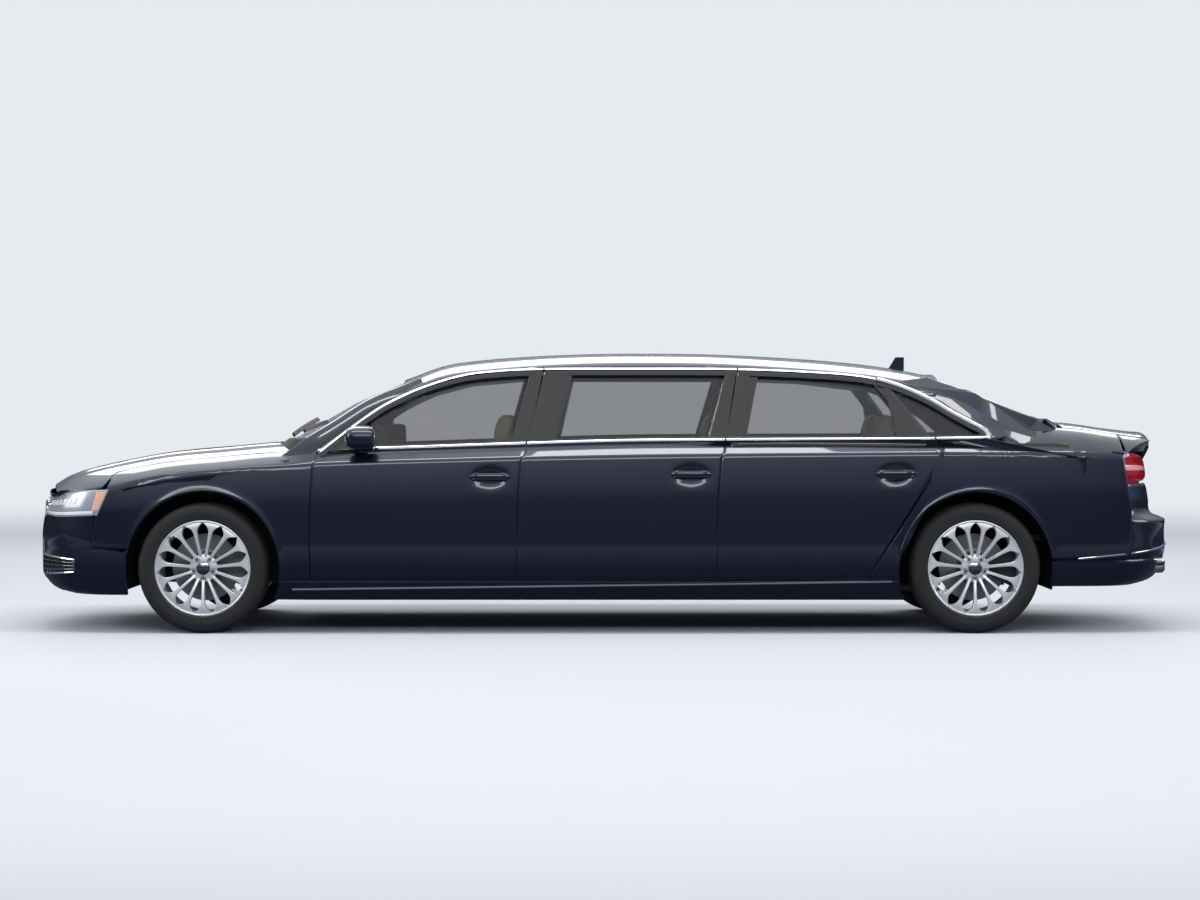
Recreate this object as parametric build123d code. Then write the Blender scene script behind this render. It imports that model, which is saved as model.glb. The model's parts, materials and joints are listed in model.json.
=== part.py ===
from build123d import *
import os
from copy import deepcopy
from functools import lru_cache
from math import atan2, cos, radians, sin

# Whole vehicle, front towards -X, left side towards -Y, ground at z = 0
length = 6360.0
width = 1949.0
height = 1546.0
wheelbase = 4220.0
front_overhang = 989.0
front_track = 1644.0
rear_track = 1635.0
half_length = length / 2
half_width = width / 2
front_axle_x = front_overhang - half_length
rear_axle_x = front_axle_x + wheelbase
overrun = width

# Wheels and tyres
tyre_radius = 356.0
tyre_width = 255.0
tyre_shoulder = 34.0
rim_radius = 262.0
rim_width = 232.0
rim_wall = 24.0
hub_radius = 74.0
hub_bore_radius = 30.3
spoke_count = 15
spoke_root_half = 7.0
spoke_tip_half = 21.0
spoke_depth = 34.0
spoke_set_in = 26.0
disc_radius = 184.0
disc_thickness = 28.0
disc_inset = 38.0
stub_radius = 30.0
stub_reach = 58.0
arch_radius = 422.0
liner_radius = 452.0
liner_thickness = 6.0
liner_outer = liner_radius + liner_thickness
liner_inner_y = 560.0

# Walls, gaps and seats of the panels
panel_wall = 22.0
side_wall = 45.0
door_wall = 100.0
frame_wall = 45.0
post_gap = 16.0
post_wall = 50.0
post_lap = 40.0
rail_wall = 45.0
shut_gap = 6.0
glass_inset = 12.0
glass_wall = 5.0
door_slant = 0.45
roof_half = 596.0
roof_edge_half = 690.0
rail_inner = 520.0
boot_lid_half = 640.0
bonnet_half = 720.0

# Hinges
pad_gap = 1.5
pad_half = 20.0
hinge_radius = 5.0
hinge_half = 22.0
hinge_clearance = 0.3
hinge_strap = 26.0
boot_hinge_half = 120.0

# Floor, bulkheads and the open spaces between them
floor_bottom = 205.0
floor_wall = 30.0
boot_floor = 490.0
bulkhead_wall = 30.0

# Running gear
kingpin_inset = 95.0
kingpin_radius = 12.0
kingpin_clearance = 0.3
upright_radius = 30.0
upright_half = 85.0
arm_half = 34.0
arm_end = 21.0
arm_wall = 26.0
beam_half_y = 450.0
beam_size = 90.0
strut_radius = 28.0
strut_half_y = 600.0
caliper_clearance = 5.0
caliper_width = 96.0
caliper_half_angle = 24.0

# Engine block
engine_length = 640.0
engine_width = 520.0
engine_height = 480.0
engine_bottom = 300.0
beam_bottom = 252.0
strut_top_share = 0.490

# Exhaust
silencer_height = 150.0
tip_width = 170.0
tip_height = 76.0
tip_length = 160.0
tip_wall = 6.0

# Seats
cushion_length = 520.0
cushion_height = 170.0
cushion_width = 540.0
cushion_bottom = 330.0
back_height = 620.0
back_wall = 150.0
back_lean = 16.0
headrest_width = 280.0
headrest_height = 170.0
headrest_wall = 100.0
headrest_gap = 40.0
seat_half_y = 370.0
seat_foot = 60.0

# Dashboard and steering wheel
steering_rim_radius = 185.0
steering_rim_wall = 15.0
steering_hub_radius = 62.0
column_radius = 26.0
column_lean = 25.0
column_clearance = 0.3
column_length = 480.0

# Mirrors, handles, lamps, grille and roof antenna
mirror_length = 190.0
mirror_height = 140.0
mirror_width = 150.0
mirror_stem = 60.0
handle_length = 190.0
handle_height = 24.0
handle_proud = 26.0
handle_foot = 22.0
handle_bar = 10.0
lamp_depth = 90.0
grille_bar_count = 8
grille_bar = 12.0
grille_frame = 26.0
antenna_length = 95.0
antenna_height = 62.0
antenna_wall = 14.0
strip_length = 110.0

# Lines of the body, as shares of half the length along x and of the height along z
bonnet_line_shares = ((-0.976, 0.521), (-0.931, 0.568), (-0.834, 0.617), (-0.567, 0.683))
roof_line_shares = ((-0.335, 0.920), (-0.246, 0.968), (-0.101, 0.994), (0.079, 1.0), (0.364, 0.977),
                    (0.575, 0.926))
boot_line_shares = ((0.800, 0.750), (0.964, 0.705))
windscreen_line_shares = ((-0.567, 0.683), (-0.450, 0.821), (-0.335, 0.920))
rear_window_line_shares = ((0.800, 0.750), (0.575, 0.926))
belt_line_shares = ((-0.566, 0.634), (-0.100, 0.676), (0.820, 0.690))
nose_tail_shares = ((-0.825, 0.116), (-0.931, 0.130), (-0.988, 0.165), (-1.0, 0.214), (-1.0, 0.350),
                    (-0.995, 0.420), (-0.985, 0.492), (-0.972, 0.530), (-0.972, 1.0), (0.972, 1.0),
                    (0.972, 0.685), (0.9635, 0.598), (0.965, 0.492), (0.978, 0.446), (1.0, 0.399),
                    (1.0, 0.294), (0.978, 0.210), (0.930, 0.165), (0.896, 0.155), (0.770, 0.116))

# Upright section of the body side, as shares of half the width and of the height
side_foot_shares = (0.915, 0.113)
side_low_shares = (0.965, 0.162)
side_full_shares = (1.0, 0.414)
side_belt_shares = (0.929, 0.700)
glass_belt_shares = (0.908, 0.640)
glass_cant_shares = (0.657, 0.9366)

# Plan of the body, as shares of half the length and of half the width
plan_nose_share = 0.981
plan_nose_half_share = 0.616
plan_nose_corner_shares = (0.9465, 0.811)
plan_flank_shares = (0.8645, 0.949)
plan_tail_corner_shares = (0.950, 0.880)
plan_tail_half_share = 0.636
plan_tail_share = 0.984

# Drop of each crowned surface at its side, as a share of the height
glass_foot_share = 0.300
roof_drop_share = 0.057
bonnet_drop_share = 0.050
boot_drop_share = 0.062
windscreen_sweep_share = 0.060
rear_window_sweep_share = 0.047

# Shut lines of the doors from the sill up, x as a share of half the length, z of the height
shut_line_shares = (
    ((-0.503, 0.184), (-0.505, 0.388), (-0.500, 0.593), (-0.493, 0.638)),
    ((-0.149, 0.184), (-0.149, 0.388), (-0.139, 0.637), (-0.129, 0.669), (-0.104, 0.946)),
    ((0.1945, 0.187), (0.1945, 0.388), (0.205, 0.647), (0.212, 0.682), (0.233, 0.946)),
    ((0.453, 0.195), (0.501, 0.347), (0.541, 0.470), (0.573, 0.578), (0.581, 0.634), (0.567, 0.683)),
)
frame_top_shares = (
    ((-0.390, 0.805), (-0.318, 0.880), (-0.245, 0.924), (-0.174, 0.941)),
    (),
    ((0.330, 0.940), (0.446, 0.918), (0.477, 0.893)),
)
window_shares = (
    ((-0.406, 0.651), (-0.400, 0.766), (-0.316, 0.853), (-0.245, 0.897), (-0.174, 0.915), (-0.130, 0.919),
     (-0.161, 0.675)),
    ((-0.084, 0.680), (-0.054, 0.922), (0.2135, 0.922), (0.181, 0.685)),
    ((0.245, 0.686), (0.270, 0.922), (0.434, 0.906), (0.472, 0.873), (0.546, 0.687)),
)
quarter_window_shares = ((0.497, 0.871), (0.566, 0.690), (0.645, 0.694), (0.600, 0.772), (0.535, 0.851))
pad_shares = (0.290, 0.540)
handle_shares = ((-0.196, 0.554), (0.149, 0.563), (0.5006, 0.565))

# Openings seen from the front or rear, as shares of half the width and of the height
windscreen_half_shares = ((0.820, 0.690), (0.612, 0.915))
rear_window_half_shares = ((0.740, 0.757), (0.612, 0.922))
grille_shares = ((0.0, 0.205), (0.330, 0.205), (0.450, 0.300), (0.450, 0.440), (0.400, 0.500), (0.0, 0.500))
intake_shares = ((0.540, 0.205), (0.860, 0.205), (0.880, 0.270), (0.540, 0.270))
headlamp_shares = ((0.480, 0.425), (1.0, 0.409), (1.0, 0.505), (0.480, 0.490))
tail_lamp_shares = ((0.600, 0.535), (1.0, 0.528), (1.0, 0.640), (0.600, 0.620))

# Places of single pieces, as shares of half the length along x and of the height along z
front_split_share = -0.868
headlamp_end_share = -0.866
tail_lamp_start_share = 0.896
bonnet_edge_share = 0.511
bonnet_back_share = -0.588
bonnet_back_corner_share = -0.535
boot_front_share = 0.803
boot_edge_share = 0.470
bonnet_hinge_share = 0.638
roof_low_share = 0.840
roof_edge_share = 0.915
boot_hinge_share = 0.7505
bumper_top_share = 0.262
tail_bumper_share = 0.912
tail_bumper_top_share = 0.500
bulkhead_share = -0.552
beam_start_share = -0.955
rear_wall_share = 0.557
deck_share = 0.655
seat_row_shares = (-0.215, 0.160, 0.460)
dash_share = -0.480
dash_low_share = 0.380
dash_high_share = 0.600
steering_share = -0.395
steering_height_share = 0.500
mirror_share = -0.408
mirror_height_share = 0.690
antenna_share = 0.531
exhaust_share = 0.935
exhaust_height_share = 0.234
silencer_share = 0.840


def along(share):
    """Place along the vehicle from a share of half its length."""
    return share * half_length


def above(share):
    """Height over the ground from a share of the overall height."""
    return share * height


def side_points(shares):
    """Points (x, z) from a row of shares."""
    return [(along(x), above(z)) for x, z in shares]


def outline(*steps):
    """Face bounded by straight runs, with an arc where a step is a pair of points."""
    edges, here = [], steps[0]
    for step in steps[1:]:
        if isinstance(step[0], tuple):
            edges.append(ThreePointArc(here, *step))
            here = step[1]
        else:
            edges.append(Line(here, step))
            here = step
    if here != steps[0]:
        edges.append(Line(here, steps[0]))
    return make_face(edges)


def across(face):
    """Prism of a side view (x, z), right across the vehicle."""
    return extrude(Plane.XZ * face, overrun, both=True)


def lengthwise(face, start=-half_length, end=half_length):
    """Prism of a front view (y, z), from one x to another."""
    return extrude(Pos(start, 0, 0) * (Plane.YZ * face), end - start)


def upright(face):
    """Prism of a plan view (x, y), from the ground to the roof."""
    return extrude(face, height)


def block(x0, x1, y0, y1, z0, z1):
    """Box between two corners."""
    return Pos((x0 + x1) / 2, (y0 + y1) / 2, (z0 + z1) / 2) * Box(x1 - x0, y1 - y0, z1 - z0)


def both_sides(piece):
    """A left piece together with its mirror image."""
    return piece + mirror(piece, about=Plane.XZ)


def crowned(body, line, drop, half, inset):
    """Body cut down to a surface that follows a side line and falls off to each side."""
    deep = -height
    drop, half = drop * (width / half) ** 2, width
    for (x0, z0), (x1, z1) in zip(line, line[1:]):
        section = outline((-half, z0 - drop), ((0, z0), (half, z0 - drop)), (half, deep), (-half, deep))
        if inset:
            section = offset(section, amount=-inset, kind=Kind.INTERSECTION)
        run = Vector(x1 - x0, 0, z1 - z0).normalized()
        body = body & extrude(Pos(x0, 0, 0) * (Plane.YZ * section), length, dir=run, both=True)
    return body


def swept_glass(body, line, sweep, half, inset):
    """Body cut back to a screen that leans along a side line and bows in plan."""
    sweep, half = sweep * (width / half) ** 2, width
    for (x0, z0), (x1, z1) in zip(line, line[1:]):
        to_cabin = 1 if x1 > x0 else -1
        lean = abs(sin(atan2(z1 - z0, x1 - x0)))
        side = x0 + to_cabin * sweep
        back = side + to_cabin * length
        plan = outline((side, -half), ((x0, 0), (side, half)), (back, half), (back, -half))
        run = Vector(x1 - x0, 0, z1 - z0).normalized()
        moved = Pos(to_cabin * inset / lean, 0, z0) * plan
        body = body & extrude(moved, length, dir=run, both=True)
    return body


@lru_cache(maxsize=None)
def lower_space(inset):
    """Body from sill to shoulder, before the bonnet and boot are crowned."""
    foot_y, foot_z = side_foot_shares[0] * half_width, above(side_foot_shares[1])
    low = (side_low_shares[0] * half_width, above(side_low_shares[1]))
    full = (side_full_shares[0] * half_width, above(side_full_shares[1]))
    belt = (side_belt_shares[0] * half_width, above(side_belt_shares[1]))
    section = outline((-foot_y, foot_z), (foot_y, foot_z), low, (full, belt), (belt[0], height),
                      (-belt[0], height), (-belt[0], belt[1]), ((-full[0], full[1]), (-low[0], low[1])))
    nose = plan_nose_half_share * half_width
    corner = (along(plan_nose_corner_shares[0]), plan_nose_corner_shares[1] * half_width)
    flank = (along(plan_flank_shares[0]), plan_flank_shares[1] * half_width)
    tail_corner = (along(plan_tail_corner_shares[0]), plan_tail_corner_shares[1] * half_width)
    tail = plan_tail_half_share * half_width
    nose_x, tail_x = -along(plan_nose_share), along(plan_tail_share)
    plan = outline((nose_x, -nose), ((-corner[0], -corner[1]), (-flank[0], -flank[1])),
                   ((0, -half_width), (flank[0], -flank[1])), ((tail_corner[0], -tail_corner[1]),
                                                               (tail_x, -tail)),
                   ((half_length, 0), (tail_x, tail)), (tail_corner, flank), ((0, half_width),
                                                                              (-flank[0], flank[1])),
                   ((-corner[0], corner[1]), (nose_x, nose)), ((-half_length, 0), (nose_x, -nose)))
    profile = outline(*side_points(nose_tail_shares))
    faces = [section, plan, profile]
    if inset:
        faces = [offset(face, amount=-inset, kind=Kind.INTERSECTION) for face in faces]
    return lengthwise(faces[0]) & upright(faces[1]) & across(faces[2])


@lru_cache(maxsize=None)
def glass_space(inset):
    """Cabin above the belt: leaning sides, crowned roof, bowed screens."""
    belt_y, belt_z = glass_belt_shares[0] * half_width, above(glass_belt_shares[1])
    cant_y, cant_z = glass_cant_shares[0] * half_width, above(glass_cant_shares[1])
    lean = (cant_y - belt_y) / (cant_z - belt_z)
    foot_z, top_z = belt_z - above(glass_foot_share), height + above(roof_drop_share)
    foot_y, top_y = belt_y + lean * (foot_z - belt_z), belt_y + lean * (top_z - belt_z)
    section = outline((-foot_y, foot_z), (foot_y, foot_z), (top_y, top_z), (-top_y, top_z))
    if inset:
        section = offset(section, amount=-inset, kind=Kind.INTERSECTION)
    body = lengthwise(section, along(windscreen_line_shares[0][0]) - lamp_depth,
                      along(belt_line_shares[-1][0]))
    body = crowned(body, side_points(roof_line_shares), above(roof_drop_share), cant_y, inset)
    body = swept_glass(body, side_points(windscreen_line_shares), along(windscreen_sweep_share), belt_y,
                       inset)
    return swept_glass(body, side_points(rear_window_line_shares), along(rear_window_sweep_share),
                       belt_y, inset)


def lower_zone(start, end):
    """Slice of the body between two places along it."""
    return block(start, end, -width, width, 0, 2 * height)


def zone(name, inset):
    """Fresh copy of a stretch of the body's outer shape, or of the same drawn in by a wall thickness."""
    return deepcopy(make_zone(name, inset))


@lru_cache(maxsize=None)
def make_zone(name, inset):
    """Outer shape of one stretch of the body, or the same drawn in by a wall thickness."""
    belt_y = side_belt_shares[0] * half_width
    front_end, tail_start = along(shut_line_shares[0][0][0]), along(deck_share)
    if name == "front":
        body = deepcopy(lower_space(inset)) & lower_zone(-length, front_end)
        return crowned(body, side_points(bonnet_line_shares), above(bonnet_drop_share), belt_y, inset)
    if name == "tail":
        body = deepcopy(lower_space(inset)) & lower_zone(tail_start, length)
        return crowned(body, side_points(boot_line_shares), above(boot_drop_share), belt_y, inset)
    if name == "cabin":
        body = deepcopy(lower_space(inset)) & lower_zone(front_end, tail_start)
        return body if inset else body & below_belt()
    return glass_space(inset)


@lru_cache(maxsize=None)
def make_wall(name, outer, inner):
    """Wall of one stretch of the body between two depths."""
    return zone(name, outer) - zone(name, inner)


def wall(name, outer, inner):
    """Fresh copy of a stretch of the body's wall."""
    return deepcopy(make_wall(name, outer, inner))


def inside(depth):
    """Space under the belt within walls of a thickness."""
    cabin = zone("cabin", depth) & below_belt()
    return zone("front", depth) + cabin + zone("tail", depth)


def surface_half_width(z):
    """Half width of the body side at a height."""
    belt_y, belt_z = glass_belt_shares[0] * half_width, above(glass_belt_shares[1])
    cant_y, cant_z = glass_cant_shares[0] * half_width, above(glass_cant_shares[1])
    if z > belt_z:
        return belt_y + (cant_y - belt_y) * (z - belt_z) / (cant_z - belt_z)
    return half_width


def slanted(points, grow=0.0):
    """Left cutter whose side faces lean forwards going inboard, so that an edge swings clear."""
    moved = [(x + door_slant * (half_width - surface_half_width(z)), z) for x, z in points]
    face = outline(*moved)
    if grow:
        face = offset(face, amount=grow, kind=Kind.INTERSECTION)
    run = Vector(-door_slant, 1, 0)
    start = Pos(0, -half_width, 0) * (Plane.XZ * face)
    return extrude(start, half_width, dir=run.normalized(), both=True) & block(
        -half_length, half_length, -width, -roof_half, 0, height)


def door_points(index):
    """Outline of a door between its two shut lines, from the foot of the front one."""
    front = side_points(shut_line_shares[index])
    back = side_points(shut_line_shares[index + 1])
    top = side_points(frame_top_shares[index])
    return front + top + list(reversed(back))


def door_cut(index):
    """Space of a door with half the shut gap all round."""
    return slanted(door_points(index), shut_gap / 2)


def below_belt(drop=0.0):
    """Everything under the belt line."""
    belt = [(x, z - drop) for x, z in side_points(belt_line_shares)]
    return across(outline((-half_length, 0), (half_length, 0), (half_length, belt[-1][1]), *reversed(belt),
                          (-half_length, belt[0][1])))


def arch_cut(x, radius, inner=liner_inner_y):
    """Left wheel arch opening, from an inner face outwards."""
    reach = width - inner
    return Pos(x, -(inner + reach / 2), tyre_radius) * Rot(90, 0, 0) * Cylinder(radius, reach)


def arches(radius, inner=liner_inner_y):
    """All four wheel arch openings."""
    return both_sides(arch_cut(front_axle_x, radius, inner) + arch_cut(rear_axle_x, radius, inner))


def skin_half(x):
    """Half width of the body at its fullest, at a place along it."""
    flank_x, flank = along(plan_flank_shares[0]), plan_flank_shares[1] * half_width
    return half_width - (half_width - flank) * (x / flank_x) ** 2


def post_pad(x, z_share, outer):
    """Pad on a post that reaches the inside of a closed door."""
    z = above(z_share)
    return zone("cabin", door_wall + pad_gap) & block(x - pad_half, x + pad_half, -width, outer,
                                                      z - pad_half,
                                                      z + pad_half)


def only_solids(shape, smallest=1.0):
    """The shape without any speck that a cut left behind."""
    solids = [solid for solid in shape.solids() if solid.volume > smallest]
    return Compound(children=solids) if len(solids) > 1 else solids[0]


def largest(shape):
    """The biggest solid of a shape."""
    return max(shape.solids(), key=lambda solid: solid.volume)


def handle(index):
    """Pull bar of a left door, standing off the panel on two feet."""
    x, z = along(handle_shares[index][0]), above(handle_shares[index][1])
    skin = half_width * plan_flank_shares[1]
    outer = half_width + handle_proud - side_wall / 2
    bar = block(x - handle_length / 2, x + handle_length / 2, -outer, handle_bar - outer,
                z - handle_height / 2,
                z + handle_height / 2)
    for end in (-1, 1):
        foot_x = x + end * (handle_length - handle_foot) / 2
        bar += block(foot_x - handle_foot / 2, foot_x + handle_foot / 2, -outer, -skin + panel_wall,
                     z - handle_height / 2, z + handle_height / 2)
    return bar


def mirror_pod():
    """Left door mirror on its stem."""
    x, z = along(mirror_share), above(mirror_height_share)
    inner = surface_half_width(z) - frame_wall / 2
    root = half_width - mirror_stem / 2
    pod = block(x - mirror_length / 2, x + mirror_length / 2, -root - mirror_width, -root,
                z - mirror_height / 2, z + mirror_height / 2)
    pod = fillet(pod.edges(), mirror_height / 5)
    stem_x = x - mirror_length / 4
    stem = block(stem_x - mirror_stem / 2, stem_x + mirror_stem / 2, -root - mirror_stem, -inner,
                 z - mirror_height / 2 + mirror_height / 5, z - mirror_height / 5)
    return pod + stem


def door(index):
    """Left door: a thick lower panel, a thinner window frame and its handle."""
    cut = slanted(door_points(index), -shut_gap / 2)
    inner_y = side_belt_shares[0] * half_width - door_wall
    low = (wall("cabin", 0, door_wall) & cut) - block(-half_length, half_length, -inner_y, 0, 0, height)
    high = (wall("glass", 0, frame_wall) & cut) - below_belt()
    panel = low + (high - slanted(side_points(window_shares[index])))
    panel -= arches(arch_radius + shut_gap)
    panel -= arches(liner_outer + 2 * shut_gap) & block(
        -half_length, half_length, side_wall - half_width - shut_gap, 0, 0, height)
    panel = largest(panel) + handle(index)
    if index == 0:
        panel += mirror_pod()
    return largest(panel)


def pane_wall():
    """Thin wall that every pane is cut from."""
    return wall("glass", glass_inset, glass_inset + glass_wall)


def door_glass(index):
    """Pane that fills a left door's window."""
    return largest(pane_wall() & slanted(side_points(window_shares[index])))


def screen_cut(half_shares, start, end):
    """Opening of the windscreen or rear window, narrower at its top."""
    (low_y, low_z), (high_y, high_z) = [(y * half_width, above(z)) for y, z in half_shares]
    face = outline((-low_y, low_z), (low_y, low_z), (high_y, high_z), (-high_y, high_z))
    return lengthwise(face, start, end)


def roof_ends():
    """Places where the roof panel starts and ends."""
    return along(roof_line_shares[0][0]) - side_wall, along(roof_line_shares[-1][0]) + side_wall


def windscreen_cut():
    """Opening of the windscreen."""
    return screen_cut(windscreen_half_shares, along(windscreen_line_shares[0][0]), roof_ends()[0])


def rear_window_cut():
    """Opening of the rear window."""
    return screen_cut(rear_window_half_shares, roof_ends()[1], along(rear_window_line_shares[0][0]))


def roof_cut():
    """Space of the roof panel: low between the rails, higher over the door frames."""
    start, end = roof_ends()
    middle = block(start, end, -roof_half, roof_half, above(roof_low_share), height)
    return middle + block(start, end, -roof_edge_half, roof_edge_half, above(roof_edge_share), height)


def bonnet_cut(grow=0.0):
    """Space of the bonnet: full width ahead of the lamps, narrower between the fenders."""
    back, corner = along(bonnet_back_share) + grow, along(bonnet_back_corner_share) + grow
    split = along(headlamp_end_share) + grow
    half = bonnet_half + grow
    plan = outline((-half_length, -half_width), (split, -half_width), (split, -half), (corner, -half),
                   ((back, 0), (corner, half)), (split, half), (split, half_width), (-half_length,
                       half_width))
    return extrude(Pos(0, 0, above(bonnet_edge_share) - grow) * plan, height)


def boot_cut(grow=0.0):
    """Space of the boot lid: its top and its upright rear face."""
    half = boot_lid_half + grow
    start = along(boot_front_share) - grow
    return block(start, half_length, -half, half, above(boot_edge_share) - grow, height)


def front_view_cut(shares, start, end):
    """Left and right openings from a front view given for one side."""
    points = [(y * half_width, above(z)) for y, z in shares]
    right = lengthwise(outline(*points), start, end)
    return both_sides(right)


def headlamp_cut(grow=0.0):
    """Opening of both headlamps in a front view, grown if asked."""
    points = [(y * half_width, above(z)) for y, z in headlamp_shares]
    face = outline(*points)
    if grow:
        face = offset(face, amount=grow, kind=Kind.INTERSECTION)
    return both_sides(lengthwise(face, -half_length, along(headlamp_end_share)))


def tail_lamp_cut():
    """Opening of both tail lamps in a rear view."""
    return front_view_cut(tail_lamp_shares, along(tail_lamp_start_share), half_length)


def front_bumper_zone():
    """Space of the front bumper, ahead of the fenders and under the bonnet."""
    split = along(front_split_share)
    back = front_axle_x - arch_radius / 2
    face = outline((-half_length, 0), (back, 0), (back, above(bumper_top_share)),
                   (split - lamp_depth, above(bumper_top_share)), (split, above(headlamp_shares[0][1])),
                   (split, above(bonnet_edge_share)), (-half_length, above(bonnet_edge_share)))
    return across(face)


def rear_bumper_zone():
    """Space of the rear bumper, behind the quarters and under the boot lid."""
    split = along(tail_bumper_share)
    back = rear_axle_x + arch_radius / 2
    face = outline((back, 0), (half_length, 0), (half_length, above(tail_bumper_top_share)),
                   (split, above(tail_bumper_top_share)), (split, above(bumper_top_share)),
                   (back, above(bumper_top_share)))
    return across(face)


def grille_cut(grow=0.0):
    """Opening of the grille in the middle of the nose."""
    points = [(y * half_width, above(z)) for y, z in grille_shares]
    left = [(-y, z) for y, z in reversed(points) if y]
    face = outline(*[point for point in points if point[0]], *left)
    if grow:
        face = offset(face, amount=grow, kind=Kind.INTERSECTION)
    return lengthwise(face, -half_length, along(front_split_share))


def fenders():
    """Front fenders from the bumper back to the front doors."""
    end = along(shut_line_shares[0][1][0]) + side_wall
    room = block(-half_length, end, -width, width, above(side_foot_shares[1]),
                 above(belt_line_shares[0][1]) - panel_wall)
    skin = wall("front", 0, side_wall) & room
    for taken in (bonnet_cut(shut_gap), front_bumper_zone(), headlamp_cut(), arches(arch_radius,
        half_width / 2),
                  block(-half_length, end, -bonnet_half, bonnet_half, 0, height), both_sides(door_cut(0)),
                  sill_zone()):
        skin -= taken
    flange = cabin_half() + post_wall + side_wall
    skin -= block(-half_length, end, -flange, flange, 0, boot_floor)
    return both_sides(largest(skin & block(-half_length, half_length, -width, 0, 0, height)))


def sill_zone():
    """Space of both sills, under the doors and between the arches."""
    start, end = along(shut_line_shares[0][0][0]), rear_axle_x
    return block(start, end, -width, width, 0, above(shut_line_shares[0][0][1]))


def post_zone(index):
    """Side view band of a post behind a shut line."""
    line = side_points(shut_line_shares[index])
    front = [(x - post_wall, z) for x, z in line]
    back = [(x + post_wall, z) for x, z in reversed(line)]
    return across(outline(*front, *back))


def cabin_half():
    """Half width of the cabin between the inner faces of its posts."""
    return side_belt_shares[0] * half_width - door_wall - post_gap - post_wall


def low_post(index, reach):
    """Upright post behind a shut line, under the belt."""
    line = side_points(shut_line_shares[index])
    outer = side_belt_shares[0] * half_width - door_wall - post_gap
    band = across(outline((line[0][0] - post_wall, floor_bottom), *[(x - post_wall, z) for x, z in line],
                          *[(x + reach, z) for x, z in reversed(line)], (line[0][0] + reach, floor_bottom)))
    post = band & below_belt(-post_lap) & block(-half_length, half_length, -outer, post_wall - outer, 0,
                                                height)
    return post - (wall("glass", 0, frame_wall + post_gap) - below_belt(2 * shut_gap))


def body_sides():
    """Sills, posts, roof rails and rear quarters, one solid on each side."""
    flank = block(-half_length, half_length, -width, -roof_half, 0, height)
    skin = wall("cabin", 0, side_wall) + (wall("tail", 0, side_wall) - zone("glass", side_wall))
    skin = (skin + (wall("glass", 0, side_wall) - below_belt() - zone("tail", side_wall))) & flank
    sill = zone("cabin", 0) & sill_zone() & block(-half_length, half_length, -width, -cabin_half(), 0,
                                                  height)
    side = skin + sill
    for taken in (roof_cut(), windscreen_cut(), rear_window_cut(), boot_cut(shut_gap), tail_lamp_cut(),
                  rear_bumper_zone(), arches(arch_radius,
                                             half_width / 2), door_cut(0), door_cut(1), door_cut(2),
                  slanted(side_points(quarter_window_shares)),
                  block(-half_length, half_length, -cabin_half(), 0, 0, boot_floor + floor_wall)):
        side -= taken
    inboard = block(-half_length, half_length, -width, -rail_inner, 0, height)
    rail = wall("glass", panel_wall, panel_wall + rail_wall) & inboard & block(
        along(roof_line_shares[0][0]), along(roof_line_shares[-1][0]), -width, -rail_inner,
        above(windscreen_line_shares[1][1]), height)
    for taken in (door_cut(0), door_cut(1), door_cut(2), slanted(side_points(quarter_window_shares))):
        rail -= taken
    side += rail
    post_depth = frame_wall + post_gap
    high = (wall("glass", post_depth, post_depth + rail_wall) & inboard) - below_belt(-shut_gap)
    post_outer = -cabin_half() - post_wall
    for index in (0, 1, 2):
        side += low_post(index, door_wall if index == 0 else post_wall)
        if index:
            side += high & post_zone(index)
        x = along(shut_line_shares[index][1][0])
        for z_share in pad_shares:
            side += post_pad(x + post_wall, z_share, post_outer)
            if index:
                side += post_pad(x - post_wall, z_share, post_outer)
    return both_sides(largest(side))


def roof_panel():
    """Roof skin from windscreen to rear window."""
    skin = wall("glass", 0, panel_wall) & roof_cut()
    for index in range(3):
        skin -= both_sides(door_cut(index))
    return largest(skin)


def bonnet_axis():
    """Hinge line of the bonnet, at its rear corners: x, z."""
    return along(bonnet_back_corner_share) + shut_gap, above(bonnet_hinge_share)


def boot_axis():
    """Hinge line of the boot lid, over its front edge: x, z."""
    return along(boot_front_share) - shut_gap / 2, above(boot_hinge_share)


def lid_barrels(axis, half_y, lid, reach, rise):
    """Hinge barrels of a lid on both sides: the inner ones on the lid, the outer ones on the body."""
    x, z = axis
    start = half_y - hinge_half if lid else half_y + hinge_clearance
    x0, x1 = sorted((x, x + reach))
    z0, z1 = sorted((z, z + rise))
    pieces = Pos(x, start + hinge_half / 2, z) * Rot(90, 0, 0) * Cylinder(hinge_radius, hinge_half)
    return both_sides(pieces + block(x0, x1, start, start + hinge_half, z0, z1))


def bonnet():
    """Bonnet skin with its two hinge tongues."""
    skin = wall("front", 0, panel_wall) & bonnet_cut()
    tongues = lid_barrels(bonnet_axis(), bonnet_half - hinge_half, True, -2 * hinge_strap, hinge_strap)
    return largest(skin + tongues)


def boot_lid():
    """Boot lid skin with its upright face and its hinge tongues."""
    skin = wall("tail", 0, panel_wall) & boot_cut()
    return largest(skin + lid_barrels(boot_axis(), boot_hinge_half, True, hinge_strap, -2 * hinge_radius))


def front_bumper():
    """Bumper skin with the grille and intake openings."""
    skin = wall("front", 0, side_wall) & front_bumper_zone()
    for taken in (bonnet_cut(shut_gap), headlamp_cut(), grille_cut(), arches(arch_radius, half_width / 2),
                  front_view_cut(intake_shares, -half_length, along(front_split_share))):
        skin -= taken
    skin -= block(along(front_split_share), half_length, -width, width, 0,
                  above(side_foot_shares[1]) + side_wall)
    skin -= block(along(beam_start_share), half_length, -beam_half_y, beam_half_y, 0, engine_bottom)
    return largest(skin)


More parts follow.
